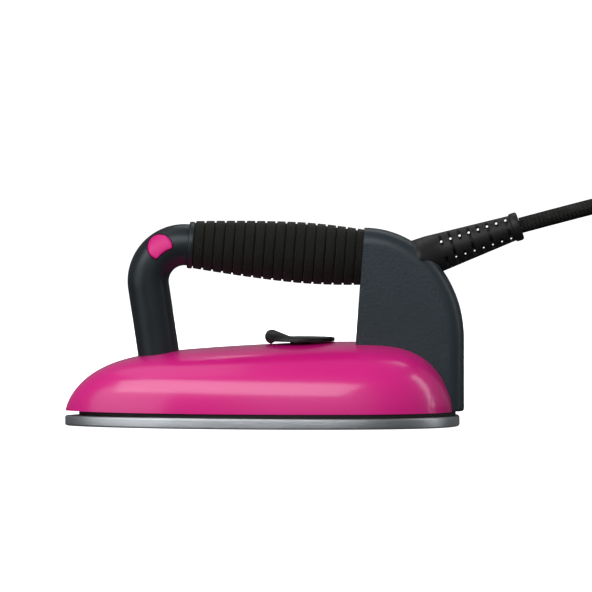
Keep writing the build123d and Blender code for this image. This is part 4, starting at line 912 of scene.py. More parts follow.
# --------------------------------------------------------------------- handle
@dataclass
class Handle:
    """Bent handle in two halves, with its collar, ribbed sleeve and thumb buttons."""

    shop: Workshop
    nose: float
    rim: float
    post_radius: float = 11.8
    core_radius: float = 10.6
    bore: float = 8.5
    setback: float = 58.3
    lean: float = 8.53
    foot: float = 30.0
    bend: float = 20.7
    grip_height: float = 99.7
    slope: float = 4.3
    collar_radius: float = 13.4
    collar_width: float = 3.2
    sleeve_length: float = 97.8
    engagement: float = 10.0
    rib_count: int = 17
    rib_groove: float = 0.9
    rib_depth: float = 1.05
    rib_ease: float = 0.5
    sleeve_lift: float = 0.4
    button_radius: float = 7.2
    button_outset: float = 3.2
    button_turn: float = 125.2
    button_proud: float = 0.7
    button_gap: float = 0.35
    button_blend: float = 2.2
    button_inner: float = 0.6
    button_edge: float = 1.3
    button_skirt: float = 3.6
    pocket_span: tuple[float, float] = (0.9, 16.0)
    parting_angle: float = 1.6
    parting_drop: float = 0.3
    lathe_sides: int = 112

    def __post_init__(self) -> None:
        """Works out the corner of the handle, its bend and where the grip begins."""
        lean, slope = math.tan(math.radians(self.lean)), math.tan(math.radians(self.slope))
        base = self.nose + self.setback + lean * self.rim
        z = (self.grip_height - slope * base) / (1 - slope * lean)
        corner = np.array([base - lean * z, 0.0, z])
        trim = self.bend * math.tan(math.radians(90 + self.lean + self.slope) / 2)
        start = corner + self.grip_dir * trim
        self.bend_end = start
        self.centre = start - np.array([-self.grip_dir[2], 0.0, self.grip_dir[0]]) * self.bend
        self.foot_point = np.array([base - lean * self.foot, 0.0, self.foot])
        self.grip = Axes(tuple(start + self.grip_dir * 0.5), -self.slope)

    @property
    def grip_dir(self) -> np.ndarray:
        """Direction of the grip, down to the rear."""
        return np.array([math.cos(math.radians(self.slope)), 0.0, -math.sin(math.radians(self.slope))])

    @property
    def post_dir(self) -> np.ndarray:
        """Direction up the post, leaning forwards."""
        return np.array([-math.sin(math.radians(self.lean)), 0.0, math.cos(math.radians(self.lean))])

    def centreline(self) -> tuple[np.ndarray, np.ndarray, np.ndarray]:
        """Points down the handle: a straight post, an arc about the bend's centre, a straight core.

        Returns:
            Points, unit normals in the middle plane, and the tube's radius at each.
        """
        last = math.pi / 2 - math.radians(self.slope)
        turn = np.linspace(math.pi + math.radians(self.lean), last, 64)[:, None]
        outward = np.cos(turn) * np.array([1.0, 0, 0]) + np.sin(turn) * np.array([0, 0, 1.0])
        arc = self.centre + self.bend * outward
        share = np.linspace(0.0, 1.0, 24, endpoint=False)[:, None]
        post = self.foot_point + (arc[0] - self.foot_point) * share
        post_normal = np.broadcast_to(outward[0], post.shape)
        reach = np.array([0.5, 0.5, 0.5 + self.collar_width + self.sleeve_length + self.engagement])
        core = self.bend_end + reach[:, None] * self.grip_dir
        core_normal = np.broadcast_to(outward[-1], core.shape)
        outer = np.full(len(post) + len(arc) + 1, self.post_radius)
        radius = np.concatenate([outer, np.full(2, self.core_radius)])
        normals = np.concatenate([post_normal, outward, core_normal])
        return np.concatenate([post, arc, core]), normals, radius

    def half_skin(self, side: Side) -> Skin:
        """One half: a C-shaped section, its parting edges eased, carried down the centreline."""
        points, normals, radius = self.centreline()
        turn = np.radians(np.linspace(-90, 90, 49))
        ease = np.minimum(1.0, (90 - np.abs(np.degrees(turn))) / self.parting_angle)
        drop = self.parting_drop * (1 - ease) ** 2
        outer_y = (radius[:, None] - drop) * np.cos(turn)
        outer_n = (radius[:, None] - drop) * np.sin(turn)
        back = turn[::-1]
        inner_y = np.broadcast_to(self.bore * np.cos(back), outer_y.shape)
        inner_n = np.broadcast_to(self.bore * np.sin(back), outer_y.shape)
        y = np.concatenate([outer_y, inner_y], axis=1) * side.value
        n = np.concatenate([outer_n, inner_n], axis=1)
        grid = (points[:, None, :] + y[..., None] * np.array([0.0, 1.0, 0.0])
                + n[..., None] * normals[:, None, :])
        return Skin.of(grid, capped=CLOSED)

    def button_rim(self, grow: float, count: int = 96) -> tuple[np.ndarray, np.ndarray]:
        """Side outline of a button: a disc whose inner edge follows the bend's centreline.

        Args:
            grow: how far the outline is let out.
            count: points round it.

        Returns:
            The centre, and the outline's reach in each of the evenly spaced directions.
        """
        out = np.array([math.cos(math.radians(self.button_turn)), math.sin(math.radians(self.button_turn))])
        middle = np.array([self.centre[0], self.centre[2]])
        spot = middle + out * (self.bend + self.button_outset)
        turn = ring_angles(count)
        ray = np.stack([np.cos(turn), np.sin(turn)], axis=-1)
        towards = ray @ (spot - middle)
        trim = self.bend - self.button_inner - grow
        inside = towards ** 2 - ((self.bend + self.button_outset) ** 2 - trim ** 2)
        hit = np.where((towards < 0) & (inside > 0), -towards - np.sqrt(np.maximum(inside, 0.0)), 1e3)
        full = self.button_radius + grow
        firm = self.button_blend
        blend = -np.log(np.exp(-hit * firm) + np.exp(-full * firm)) / firm
        return spot, np.minimum(np.minimum(hit, full), blend)

    def pocket_skin(self, side: Side) -> Skin:
        """The hole of a button, a prism across one half."""
        spot, reach = self.button_rim(self.button_gap)
        turn = ring_angles(len(reach))
        x, z = spot[0] + reach * np.cos(turn), spot[1] + reach * np.sin(turn)
        rows = [np.stack([x, np.full_like(x, side.value * y), z], axis=-1) for y in self.pocket_span]
        return Skin.of(np.stack(rows), capped=CLOSED)

    def button_skin(self, side: Side) -> Skin:
        """A cap that follows the bend's tube, its rim rolled over and its skirt inside."""
        spot, reach = self.button_rim(0.0)
        turn = ring_angles(len(reach))
        roll = np.radians(np.linspace(0, 90, 7))
        edge = self.button_edge
        inset = np.concatenate([[0.0, 0.0], edge * (1 - np.cos(roll)), np.array([2.2, 3.6, 5.2]), [99.0]])
        lift = np.concatenate([[-self.button_skirt, -edge], edge * (np.sin(roll) - 1), np.zeros(4)])
        lift = lift + self.button_proud
        share = np.clip((reach[None, :] - inset[:, None]) / reach[None, :], 0.0, 1.0)
        x = spot[0] + share * reach * np.cos(turn)
        z = spot[1] + share * reach * np.sin(turn)
        away = np.hypot(x - self.centre[0], z - self.centre[2]) - self.bend
        y = np.sqrt((self.post_radius ** 2 - away ** 2).clip(1.0)) + lift[:, None]
        return Skin.of(np.stack([x, side.value * y, z], axis=-1), capped=(True, False))

    def sleeve_radius(self, share: np.ndarray) -> np.ndarray:
        """Radius along the sleeve: slim in front, a belly past the middle, slimmer behind."""
        belly, front, widest, rear = 0.64, 13.5, 17.4, 15.7
        ahead = widest - (widest - front) * (np.abs(share - belly) / belly).clip(0, 1) ** 1.5
        behind = widest - (widest - rear) * ((share - belly) / (1 - belly)).clip(0, 1) ** 2
        return np.where(share < belly, ahead, behind)

    def sleeve_skin(self) -> Skin:
        """Ribs parted by grooves: each rib is a flat top with rounded shoulders, repeated."""
        pitch = self.sleeve_length / self.rib_count
        shoulder = rounding((0.0, 0.0), 1.0, 180, 90, 5)
        ease = self.rib_ease
        rise = np.stack([self.rib_groove / 2 + ease * (shoulder[:, 0] + 1), shoulder[:, 1] - 1], axis=-1)
        fall = np.stack([pitch - rise[::-1, 0], rise[::-1, 1]], axis=-1)
        floor = np.array([(0.0, -self.rib_depth / ease), (self.rib_groove / 2, -self.rib_depth / ease)])
        rib = np.concatenate([floor, rise, fall, [(pitch - self.rib_groove / 2, -self.rib_depth / ease)]])
        starts = np.arange(self.rib_count)[:, None] * pitch
        along = (starts + rib[None, :, 0]).ravel()
        drop = np.broadcast_to(rib[None, :, 1] * ease, (self.rib_count, len(rib))).ravel()
        radius = self.sleeve_radius(along / self.sleeve_length) + drop
        inner = self.core_radius + 0.05
        profile = np.stack([along, radius], axis=-1)
        profile = np.concatenate([[(0.0, inner)], profile, [(self.sleeve_length, profile[-1, 1])],
                                  [(self.sleeve_length, inner)], [(0.0, inner)]])
        axes = Axes(tuple(np.array(self.grip.start) + self.grip.along * self.collar_width), -self.slope)
        points, uv = lathe(axes, profile, self.lathe_sides)
        points[1:-2] += self.sleeve_lift * self.grip.up
        # Second UV value: one on a rib top, zero in a groove; the sleeve's finish paints shade into the grooves
        # by it.
        tops = np.concatenate([[0.0], 1 + drop / self.rib_depth, [0.0, 0.0, 0.0]])
        uv = np.stack([uv[..., 0], np.broadcast_to(tops[:, None], uv.shape[:2])], axis=-1)
        return Skin.of(points, uv)

    def collar_skin(self) -> Skin:
        """A smooth ring with a crowned face between bend and sleeve."""
        width, radius, ease = self.collar_width, self.collar_radius, 1.0
        inner = self.core_radius + 0.05
        profile = np.concatenate([
            [(0.05, inner)], rounding((ease + 0.05, radius - ease), ease, 180, 90, 6),
            rounding((width - 0.6, radius - 0.6), 0.55, 90, 0, 5), [(width - 0.05, inner)], [(0.05, inner)],
        ])
        return Skin.of(*lathe(self.grip, profile, self.lathe_sides))

    def post_cutter(self, let_out: float) -> Skin:
        """The post, let out, for the hole of the cover."""
        low = self.foot_point - self.post_dir * 20
        rings = bar(low, low + self.post_dir * 70, self.post_radius + let_out, 96)
        return Skin.of(rings, capped=CLOSED)

    def build(self) -> None:
        """Makes the halves, the collar, the sleeve and the buttons."""
        for side in Side:
            word = side.name.lower()
            self.shop.make(f"handle_{word}_skin", self.half_skin(side), Body.IRON, f"handle_{word}_half",
                           cutters=[self.pocket_skin(side)])
            self.shop.make(f"steam_button_{word}_skin", self.button_skin(side), Body[f"BUTTON_{side.name}"],
                           f"steam_button_{word}")
        self.shop.make("collar_skin", self.collar_skin(), Body.IRON, "grip_collar")
        self.shop.make("sleeve_skin", self.sleeve_skin(), Body.IRON, "grip_sleeve", sharp=50.0)


# -------------------------------------------------------------- rear housing
@dataclass
class RearHousing:
    """Rear housing in two halves: a quarter-ellipse back, flat grained sides, smooth border."""

    shop: Workshop
    rear: float
    top: float
    rim: float
    width: float = 36.0
    depth: float = 56.7
    arc_height: float = 62.6
    skirt: float = 36.0
    foot_depth: float = 30.0
    round: float = 9.0
    slope: float = 4.3
    parting: float = 0.35
    heel_round: float = 1.4
    crown: float = 0.12
    crown_from: float = 60.0
    crown_span: float = 50.0
    front_band: float = 56.0

    def front_x(self, z: np.ndarray | float) -> np.ndarray | float:
        """X of the front face, which is square to the grip."""
        return self.rear - self.depth - math.tan(math.radians(self.slope)) * (self.top - z)

    def back_row(self, inset: float, half: float) -> np.ndarray:
        """The back's line at an inset: from the front face along the arc, then down the rear."""
        turn = np.radians(np.linspace(0, 90, 73))
        front, low = self.rear - self.depth, self.top - self.arc_height
        x = front + (self.rear - inset - front) * np.sin(turn)
        z = low + (self.top - inset - low) * np.cos(turn)
        ease = self.heel_round
        foot = rounding((self.rear - inset - ease, self.rim + ease), ease, 0, -90, 6)
        straight = np.full(15, self.rear - inset)
        x = np.concatenate([[self.front_x(self.top - inset)], x[1:], straight, foot[:, 0]])
        z = np.concatenate([[self.top - inset], z[1:], np.linspace(low, foot[0, 1], 16)[1:], foot[:, 1]])
        return np.stack([x, np.full_like(x, half), z], axis=-1)

    def corners(self, half: float, grow: float) -> np.ndarray:
        """The lower corners of a side face, from the rear's foot round to the front face."""
        foot = self.rear - self.foot_depth
        return np.array([
            (foot - grow, half, self.rim), (foot - grow, half, self.skirt),
            (self.front_x(self.skirt), half, self.skirt),
        ])

    def half_skin(self, side: Side) -> Skin:
        """One half: the border's rows turn a quarter round from the back to the flat side."""
        half = self.width / 2
        turn = np.radians(np.linspace(0, 90, 15))
        inset = np.concatenate([[self.parting, 0.0], self.round * (1 - np.cos(turn))])
        level = np.concatenate([[0.0, self.parting], half - self.round * (1 - np.sin(turn))])
        rows = np.stack([self.back_row(i, y) for i, y in zip(inset, level)])
        uv = np.ones(rows.shape[:2] + (2,))
        edge = rows[-1]
        ahead = np.where(edge[:, 2] >= self.skirt, self.front_x(edge[:, 2]), self.rear - self.foot_depth)
        share = np.linspace(0.0, 1.0, 9)[:, None]
        flat_x = edge[:, 0] + (ahead - edge[:, 0]) * share
        flat = np.stack(np.broadcast_arrays(flat_x, half, edge[:, 2]), axis=-1)
        skin = Skin()
        skin.grid(rows, uv, loop=False)
        skin.grid(flat, np.zeros(flat.shape[:2] + (2,)), loop=False)
        rim = np.concatenate([rows[:, 0], flat[-1], rows[::-1, -1]])
        inner = rim * np.array([1.0, 0.0, 1.0])
        skin.grid(np.stack([rim, inner]), loop=False)
        skin.face(np.concatenate([rows[0], inner[len(rows):len(rows) + len(edge)][::-1]]), 1.0)
        above = np.concatenate(skin.points)[:, 2] - self.crown_from
        squeeze = np.clip(above / self.crown_span, 0.0, None) ** 2
        cuts = np.cumsum([len(p) for p in skin.points])[:-1]
        parts = np.split(1 - self.crown * squeeze, cuts)
        skin.points = [p * np.stack([np.ones_like(k), k, np.ones_like(k)], axis=-1)
                       for p, k in zip(skin.points, parts)]
        mirror = np.array([1.0, side.value, 1.0])
        skin.points = [p * mirror for p in skin.points]
        return skin

    def cutter(self, grow: float) -> Skin:
        """The whole housing, let out, for the hole of the cover."""
        turn = np.radians(np.linspace(0, 90, 9))
        inset = self.round * (1 - np.cos(turn)) - grow
        level = self.width / 2 + grow - self.round * (1 - np.sin(turn))
        pairs = list(zip(inset, level))
        rows = [self.back_row(i, -y) for i, y in reversed(pairs)]
        rows += [self.back_row(i, y) for i, y in pairs]
        closed = []
        for row in rows:
            corners = self.corners(row[0, 1], grow)
            corners[:, 2] = np.where(corners[:, 2] < self.rim + 1, self.rim - 1, corners[:, 2] - grow)
            row[-1, 2] = self.rim - 1
            shift = np.array([grow, 0, 0]) * (row[:, :1] < self.rear - self.front_band)
            closed.append(np.concatenate([row - shift, corners]))
        return Skin.of(np.stack(closed), capped=CLOSED)

    def build(self) -> None:
        """Makes both halves."""
        for side in Side:
            word = side.name.lower()
            self.shop.make(f"housing_{word}_skin", self.half_skin(side), Body.IRON, f"rear_housing_{word}",
                           sharp=30.0)


# --------------------------------------------------------- dial and cord guard
@dataclass
class Dial:
    """Temperature dial: a thin disc with a finger tab at its front rim and a hub below."""

    shop: Workshop
    x: float
    bottom: float
    radius: float = 19.7
    thick: float = 2.2
    tab_height: float = 4.3
    tab_length: float = 15.6
    tab_round: float = 3.95
    tab_width: float = 11.0
    hub_radius: float = 6.0
    hub_depth: float = 6.15
    hub_clear: float = 0.3

    def disc_skin(self) -> Skin:
        """A disc with a rounded rim, and a hub below it."""
        ease = 0.95
        profile = np.concatenate([
            [(-self.hub_depth, 0.0), (-self.hub_depth, self.hub_radius - 0.3),
             (-self.hub_depth + 0.3, self.hub_radius),
             (0.0, self.hub_radius), (0.0, self.radius - 0.5), (0.5, self.radius)],
            rounding((self.thick - ease, self.radius - ease), ease, 0, 90, 7),
            [(self.thick, self.radius * 0.75), (self.thick, 0.0)],
        ])
        return Skin.of(*lathe(Axes((self.x, 0.0, self.bottom), 90.0), profile, 144))

    def tab_skin(self) -> Skin:
        """The tab: a wedge whose crest curls over at the front and falls to the rear."""
        front, top = self.x - self.radius, self.bottom + self.thick
        round_r = self.tab_round
        nose = rounding((front + round_r - 0.65, top + self.tab_height - round_r), round_r, 270, 72, 28)
        slide = np.linspace(0.0, 1.0, 10)[1:]
        ramp_x = nose[-1, 0] + (front + self.tab_length - nose[-1, 0]) * slide
        ramp_z = nose[-1, 1] + (top - 0.25 - nose[-1, 1]) * slide
        under = [(front + self.tab_length, top - 1.2), (front + 8.0, top - 1.7), (front + 5.2, top - 2.4)]
        outline = np.concatenate([nose, np.stack([ramp_x, ramp_z], axis=-1), under])
        half = self.tab_width / 2
        middle = outline.mean(axis=0)
        rows = []
        for y, share in ((-half, 0.0), (-half + 0.15, 0.55), (-half + 0.6, 0.9), (-half + 1.2, 1.0),
                         (half - 1.2, 1.0), (half - 0.6, 0.9), (half - 0.15, 0.55), (half, 0.0)):
            shrink = 1 - (1 - share) * np.array([0.1, 0.18])
            flat = middle + (outline - middle) * shrink
            rows.append(np.stack([flat[:, 0], np.full(len(flat), y), flat[:, 1]], axis=-1))
        return Skin.of(np.stack(rows), capped=CLOSED)

    def hub_cutter(self) -> Skin:
        """The hub, let out, for the hole of the cover."""
        low, high = (self.x, 0, self.bottom - 20), (self.x, 0, self.bottom + 5)
        return Skin.of(bar(low, high, self.hub_radius + self.hub_clear, 48), capped=CLOSED)

    def build(self) -> None:
        """Makes the dial."""
        self.shop.make("dial_skin", self.disc_skin(), Body.DIAL, "temperature_dial", sharp=30.0)
        self.shop.make("dial_tab_skin", self.tab_skin(), Body.DIAL, "temperature_dial", sharp=45.0)


@dataclass
class CordGuard:
    """Tapered strain relief: slots on both flanks, sight holes, and a ring at the tip."""

    shop: Workshop
    start: tuple[float, float, float]
    rise: float = 18.3
    length: float = 53.8
    root: float = 11.3
    tip: float = 7.4
    ring: float = 8.25
    ring_width: float = 5.0
    cord_radius: float = 4.5
    slots: int = 8
    pitch: float = 5.49
    last_gap: float = 2.2
    slot_width: float = 1.7
    web: float = 3.5
    sight_radius: float = 0.7
    low_sight_radius: float = 0.5
    boss_swell: float = 0.45
    boss_end: float = 8.0
    sight_offset: float = 5.4

    @property
    def axes(self) -> Axes:
        """The guard's axis."""
        return Axes(self.start, self.rise)

    @property
    def exit(self) -> np.ndarray:
        """Where the cord leaves the guard's tip."""
        return np.array(self.start) + self.axes.along * self.length

    def slot_places(self) -> np.ndarray:
        """Distances of the slots along the axis."""
        last = self.length - self.ring_width - self.last_gap
        return last - self.pitch * np.arange(self.slots)[::-1]

    def guard_skin(self) -> Skin:
        """The taper, with its radius cut back in each slot to a flat web or to the cord.

        In a slot the radius is the web's half width over the cosine of the turn from
        the flank, but no less than the cord's; every other slot keeps its flank too.
        """
        taper_end = self.length - self.ring_width
        angle = ring_angles(144)
        slim = 0.04
        root = np.linspace(-8.0, 7.0, 16).tolist()
        stations, slot_of = root, [-1] * len(root)
        for i, place in enumerate(self.slot_places()):
            low, high = place - self.slot_width / 2, place + self.slot_width / 2
            stations += [low - slim, low, high, high + slim]
            slot_of += [-1, i, i, -1]
        stations.append(taper_end)
        slot_of.append(-1)
        along, slot = np.array(stations), np.array(slot_of)
        outer = self.root + (self.tip - self.root) * np.clip(along, 0, None) / taper_end
        flank = np.maximum(np.abs(np.cos(angle)), 1e-3)
        floor = np.maximum(self.cord_radius + 0.4, self.web / flank)
        radius = np.broadcast_to(outer[:, None], (len(along), len(angle))).copy()
        cut_back = np.minimum(outer[:, None], floor[None, :])
        kept = (slot % 2 == 0)[:, None] & (np.abs(np.sin(angle))[None, :] * outer[:, None] < self.web)
        inside = (slot >= 0)[:, None] & ~kept
        radius[inside] = cut_back[inside]
        end = np.array([(taper_end + 0.01, self.ring - 0.9), (taper_end + 0.35, self.ring - 0.35),
                        (taper_end + 1.0, self.ring), (self.length - 1.2, self.ring),
                        (self.length - 0.4, self.ring - 0.35), (self.length, self.ring - 1.1),
                        (self.length, self.cord_radius + 0.05), (-8.0, self.cord_radius + 0.05)])
        more = np.broadcast_to(end[:, 1:], (len(end), len(angle)))
        radius = np.concatenate([radius, more, radius[:1]])
        along = np.concatenate([along, end[:, 0], along[:1]])
        along_grid = np.broadcast_to(along[:, None], radius.shape)
        near = np.clip((self.boss_end - along_grid) / (self.boss_end + 5.0), 0, 1)
        swell = 1 + self.boss_swell * near ** 1.6
        bored = np.arange(len(along))[:, None] >= len(along) - 3
        swell = np.where(bored, 1.0, swell)
        points = self.axes.place(along_grid, radius * swell * np.cos(angle), radius * np.sin(angle))
        return Skin.of(points)

    def sight_skins(self) -> Skin:
        """Cross holes above and below the cord at each slot, as one cutter."""
        merged, across = Skin(), np.array([0, 20, 0])
        for i, place in enumerate(self.slot_places()):
            for offset in (self.sight_offset, -self.sight_offset)[: 2 if i else 1]:
                spot = np.array(self.start) + self.axes.along * place + self.axes.up * offset
                size = self.sight_radius if offset > 0 else self.low_sight_radius
                merged.grid(bar(spot - across, spot + across, size, 20), capped=CLOSED)
        return merged

    def build(self) -> bpy.types.Object:
        """Makes the guard."""
        return self.shop.make("cord_guard_skin", self.guard_skin(), Body.IRON, "cord_guard",
                              sharp=CUT_SHARP, cutters=[self.sight_skins()])


# ----------------------------------------------------------------------- cord
@dataclass
class Cord:
    """Hose-and-mains cord: straight out, one bend down, a coil of two layers, a tail."""

    shop: Workshop
    exit: np.ndarray
    radius: float = 4.5
    length: float = 2000.0
    coil_x: float = 359.0
    outer_turn: float = 60.0
    inner_turn: float = 35.25
    turns: float = 5.5
    steps: int = 16
    run: list[tuple[float, float, float]] = field(default_factory=lambda: [
        (172, 0, 121.0), (205, 0, 129.4), (248, -8, 120), (276, -21, 91), (289, -32, 52),
        (304.5, -45.5, 25.5), (330, -58, 13.8),
    ])
    tail: list[tuple[float, float, float]] = field(default_factory=lambda: [
        (332, 62, 5.1), (306, 63, 10.4), (281, 63, 11.0),
    ])

    def coil(self) -> np.ndarray:
        """Turns that wind in on the upper layer, drop in half a turn and wind out below."""
        count = int(self.turns * self.steps) + 1
        share = np.linspace(0.0, 1.0, count)
        turn = -math.pi / 2 + share * self.turns * 2 * math.pi
        chord = 1 / math.cos(math.pi / self.steps) ** 0.7
        radius = (self.inner_turn + (self.outer_turn - self.inner_turn) * np.abs(1 - 2 * share)) * chord
        radius[[0, -1]] = self.outer_turn
        drop = np.clip((share * self.turns - (self.turns / 2 - 0.15)) / 0.3, 0, 1)
        z = self.radius * (3 - 2 * drop)
        return np.stack([self.coil_x + radius * np.cos(turn), radius * np.sin(turn), z], axis=-1)

    def route(self) -> np.ndarray:
        """Points read from one smooth spline through the whole route, in millimetres."""
        run, tail = np.array(self.run, float), np.array(self.tail, float)
        points = np.concatenate([[self.exit], run, self.coil(), tail])
        curve = bpy.data.curves.new("cord_route", "CURVE")
        curve.dimensions = "3D"
        spline = curve.splines.new("NURBS")
        spline.points.add(len(points) - 1)
        weighted = np.concatenate([points * MM, np.ones((len(points), 1))], axis=1)
        spline.points.foreach_set("co", weighted.ravel())
        spline.order_u = 3
        spline.use_endpoint_u = True
        spline.resolution_u = 12
        holder = solid("cord_route", curve)
        graph = bpy.context.evaluated_depsgraph_get()
        line = bpy.data.meshes.new_from_object(holder.evaluated_get(graph))
        flat = np.zeros(len(line.vertices) * 3)
        line.vertices.foreach_get("co", flat)
        bpy.data.objects.remove(holder)
        return flat.reshape(-1, 3) / MM

    def tube(self, path: np.ndarray, sides: int = 28) -> Skin:
        """A round section carried along a path, square to it and level with the floor."""
        step = np.diff(path, axis=0)
        tangent = unit(np.concatenate([step[:1], step[:-1] + step[1:], step[-1:]]))
        level = unit(np.cross(tangent, np.array([0.0, 0.0, 1.0])))
        rise = np.cross(level, tangent)
        run = np.concatenate([[0.0], np.cumsum(np.linalg.norm(step, axis=1))])
        angle = ring_angles(sides)[None, :, None]
        ring = self.radius * (np.cos(angle) * level[:, None] + np.sin(angle) * rise[:, None])
        share = ring_angles(sides)[None, :] / (2 * math.pi)
        uv = np.stack(np.broadcast_arrays(share, run[:, None]), axis=-1)
        return Skin.of(path[:, None] + ring, uv, capped=CLOSED)

    def build(self, pieces: list[bpy.types.Object]) -> None:
        path = self.route()
        cord = self.shop.make("cord", self.tube(path), Body.IRON, "cord_run", "cord_coil", "cord_tail",
                              sharp=60.0)
        tuple(self.exit * MM)
        2 * self.radius * MM
        LOG.info("cord: %.0f mm along its line", np.linalg.norm(np.diff(path, axis=0), axis=1).sum())


@dataclass
class Connector:
    """Station connector at the cord's far end: tapered guard and ribbed body."""

    shop: Workshop
    start: tuple[float, float, float] = (281.0, 63.0, 11.0)
    guard_length: float = 28.0
    body_length: float = 36.0
    radius: float = 11.0

    @property
    def axes(self) -> Axes:
        """The connector's axis, back towards the iron."""
        return Axes(self.start, 180.0)

    def guard_skin(self) -> Skin:
        """A taper with shallow rings, closed at both ends."""
        along = np.linspace(0.0, self.guard_length, 57)
        taper = 6.3 + (8.6 - 6.3) * along / self.guard_length
        rings = 0.45 * (1 - np.abs(np.sin(along * math.pi / 4.0)) ** 0.5)
        ends = np.array([(0.0, 0.0), (0.0, 5.6)])
        ringed = np.stack([along, taper - rings], axis=-1)[1:]
        profile = np.concatenate([ends, ringed, [(self.guard_length, 0.0)]])
        return Skin.of(*lathe(self.axes, profile, 72))

    def body_skin(self) -> Skin:
        """A drum with four pull grooves, eased at both ends."""
        base, end, radius = self.guard_length, self.guard_length + self.body_length, self.radius
        along = np.linspace(base + 8.5, base + 25.5, 86)
        groove = 0.9 * np.clip(np.sin((along - base - 8.5) * math.pi / 4.25) ** 2 * 2 - 0.8, 0, 1)
        profile = np.concatenate([
            [(base, 0.0), (base, 9.0)], rounding((base + 2.0, radius - 2.0), 2.0, 180, 90, 6),
            np.stack([along, radius - groove], axis=-1), rounding((end - 1.2, radius - 1.2), 1.2, 90, 0, 6),
            [(end, 9.6), (end - 0.8, 9.3), (end - 0.8, 0.0)],
        ])
        return Skin.of(*lathe(self.axes, profile, 96))

    def build(self) -> list[bpy.types.Object]:
        """Makes the guard and the body; the spigot and the pins are the frame's own."""
        skins = {"connector_guard": self.guard_skin(), "connector_body": self.body_skin()}
        return [self.shop.make(f"{node}_skin", skin, Body.IRON, node) for node, skin in skins.items()]


# --------------------------------------------------------------------- studio
@dataclass(frozen=True)
class Lamp:
    """One rectangular soft light: place and size in millimetres, power in watts."""

    name: str
    spot: tuple[float, float, float]
    size: tuple[float, float]
    power: float
    seen_in_gloss: bool = True


LAMPS = (
    Lamp("key_softbox", (-480.0, -860.0, 880.0), (1800.0, 680.0), 10.6),
    Lamp("top_softbox", (-650.0, 100.0, 1500.0), (1000.0, 800.0), 1.4),
    Lamp("heel_strip", (1300.0, -60.0, 520.0), (280.0, 1300.0), 2.6),
    Lamp("nose_card", (-1150.0, -640.0, 300.0), (900.0, 900.0), 2.6),
    Lamp("front_fill", (0.0, -1900.0, 420.0), (1500.0, 900.0), 12.0, seen_in_gloss=False),
    Lamp("back_fill", (100.0, 1700.0, 700.0), (1500.0, 900.0), 14.0, seen_in_gloss=False),
    Lamp("back_softbox", (300.0, 700.0, 1350.0), (1200.0, 500.0), 3.0),
)


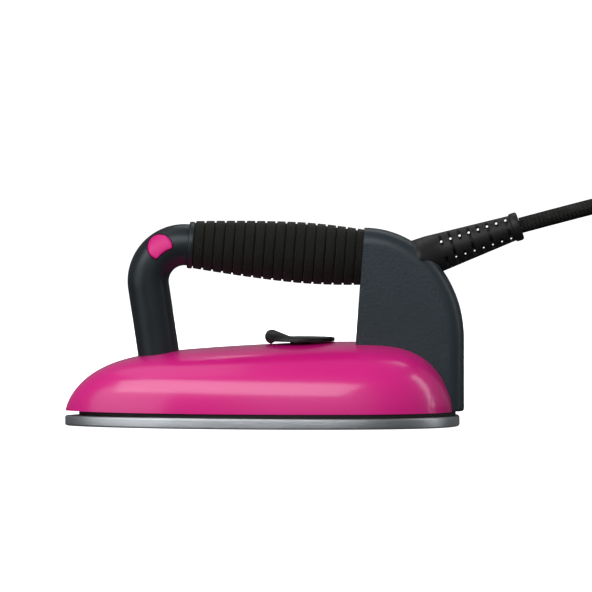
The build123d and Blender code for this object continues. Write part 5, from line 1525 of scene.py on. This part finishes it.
@dataclass
class Studio:
    """Pale floor that rises into a backdrop, soft lights and the camera."""

    look_at: tuple[float, float, float] = (18.0, 0.0, 73.8)
    distance: float = 6000.0
    elevation: float = 1.9
    view_width: float = 337.4
    sensor: float = 36.0
    clip: tuple[float, float] = (0.05, 200.0)
    aim: tuple[float, float, float] = (0.0, 0.0, 40.0)
    drop: float = -0.3

    def floor(self) -> None:
        """A round sweep: a flat floor with a curve up to a wall all round."""
        flat, curve, height = 40000.0, 6000.0, 30000.0
        bend = rounding((curve, flat), curve, 180, 90, 16)
        profile = np.concatenate([[(0.0, 0.0), (0.0, 2000.0)], bend, [(height, flat + curve)]])
        skin = Skin.of(lathe(Axes((0.0, 0.0, self.drop), 90.0), profile, 96)[0])
        sweep = solid("studio_sweep", skin.mesh("studio_sweep"))
        graph = Graph("studio_white")
        tone = graph.noise(graph.place(), 0.5)
        sweep.data.materials.append(graph.finish({
            "Base Color": graph.mix(tone, (0.9, 0.9, 0.9, 1.0), (0.92, 0.92, 0.92, 1.0)),
            "Roughness": 0.9, "Specular IOR Level": 0.1,
            "Emission Color": WHITE, "Emission Strength": 1.0,
        }))
        sweep.visible_diffuse = sweep.visible_glossy = False

    def hang(self, lamp: Lamp) -> None:
        """Hangs one lamp and turns it to the iron."""
        data = bpy.data.lights.new(lamp.name, "AREA")
        data.shape, data.energy = "RECTANGLE", lamp.power
        data.size, data.size_y = lamp.size[0] * MM, lamp.size[1] * MM
        made = bpy.data.objects.new(lamp.name, data)
        made.visible_glossy = lamp.seen_in_gloss
        bpy.context.scene.collection.objects.link(made)
        self.turn_to(made, lamp.spot, self.aim)

    @staticmethod
    def turn_to(thing: bpy.types.Object, spot: Sequence[float], aim: Sequence[float]) -> None:
        """Places a lamp or a camera and turns it to a point."""
        back = unit(np.array(spot, float) - np.array(aim, float))
        right = unit(np.cross(np.array([0.0, 0.0, 1.0]), back))
        up = np.cross(back, right)
        columns = np.stack([right, up, back, np.array(spot, float) * MM], axis=1)
        thing.matrix_world = Matrix(np.concatenate([columns, [[0.0, 0.0, 0.0, 1.0]]]).tolist())

    def sky(self) -> None:
        """The surroundings: dim below the horizon, brighter above it."""
        world = bpy.data.worlds.new("studio_world")
        bpy.context.scene.world = world
        world.use_nodes = True
        tree = world.node_tree
        coords = tree.nodes.new("ShaderNodeTexCoord")
        parts = tree.nodes.new("ShaderNodeSeparateXYZ")
        level = tree.nodes.new("ShaderNodeMapRange")
        for key, value in {1: -0.3, 2: 0.15, 3: 0.05, 4: 0.17}.items():
            level.inputs[key].default_value = value
        tree.links.new(coords.outputs["Object"], parts.inputs[0])
        tree.links.new(parts.outputs[2], level.inputs[0])
        tree.links.new(level.outputs[0], tree.nodes["Background"].inputs[1])
        tree.nodes["Background"].inputs[0].default_value = (0.97, 0.985, 1.0, 1.0)

    def build(self) -> None:
        """Makes the sweep, the world, the lamps and the camera."""
        self.floor()
        self.sky()
        for lamp in LAMPS:
            self.hang(lamp)
        data = bpy.data.cameras.new("camera")
        data.sensor_width, data.lens = self.sensor, self.sensor * self.distance / self.view_width
        data.clip_start, data.clip_end = self.clip
        camera = bpy.data.objects.new("camera", data)
        bpy.context.scene.collection.objects.link(camera)
        rise = math.radians(self.elevation)
        offset = np.array([0.0, -math.cos(rise), math.sin(rise)]) * self.distance
        self.turn_to(camera, np.array(self.look_at) + offset, self.look_at)
        bpy.context.scene.camera = camera
        bpy.context.scene.view_settings.view_transform = "Standard"


def dress_inner_nodes(shop: Workshop) -> None:
    """Gives every carried-over node the finish of its slot."""
    for name, piece in shop.nodes.items():
        shop.finishes.dress(piece, shop.slots[name])
    LOG.info("dressed %d nodes", len(shop.nodes))


def main() -> None:
    """Builds the iron in order: frame, sole, cover, handle, housing, dial, cord, studio."""
    logging.basicConfig(level=logging.INFO, format="%(name)s %(message)s")
    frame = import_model()
    slots = {entry["node"]: entry["material_slot"] for entry in frame["record"]["subparts"]}
    shop = Workshop(Finishes(), frame["nodes"], slots)
    dress_inner_nodes(shop)
    plate_low, plate_high = shop.span("soleplate")
    cover_low = shop.span("cover")[0]
    housing_high = shop.span("rear_housing_left")[1]
    dial_low, dial_high = shop.span("temperature_dial")
    widest = plate_high[0] - HEEL_LENGTH
    plan = Plan(widest, widest - plate_low[0], HEEL_LENGTH, plate_high[1] - plate_low[1])
    rim = cover_low[2]
    Sole(shop, plan).build()
    handle = Handle(shop, plate_low[0], rim)
    handle.build()
    housing = RearHousing(shop, housing_high[0], housing_high[2], rim)
    housing.build()
    dial = Dial(shop, dial_high[0] - Dial.radius, dial_low[2] + Dial.hub_depth)
    dial.build()
    cover = Cover(shop, plan, rim)
    cover.build(handle.post_cutter(cover.let_out), housing.cutter(cover.let_out), dial.hub_cutter())
    guard = CordGuard(shop, (housing.rear - GUARD_AHEAD, 0.0, housing.top - GUARD_BELOW))
    on_cord = [guard.build(), *Connector(shop).build()]
    on_cord += [shop.nodes[name] for name in ("cord_inner", "connector_spigot", "connector_pins")]
    Cord(shop, guard.exit).build(on_cord)
    Studio().build()


if __name__ == "__main__":
    main()
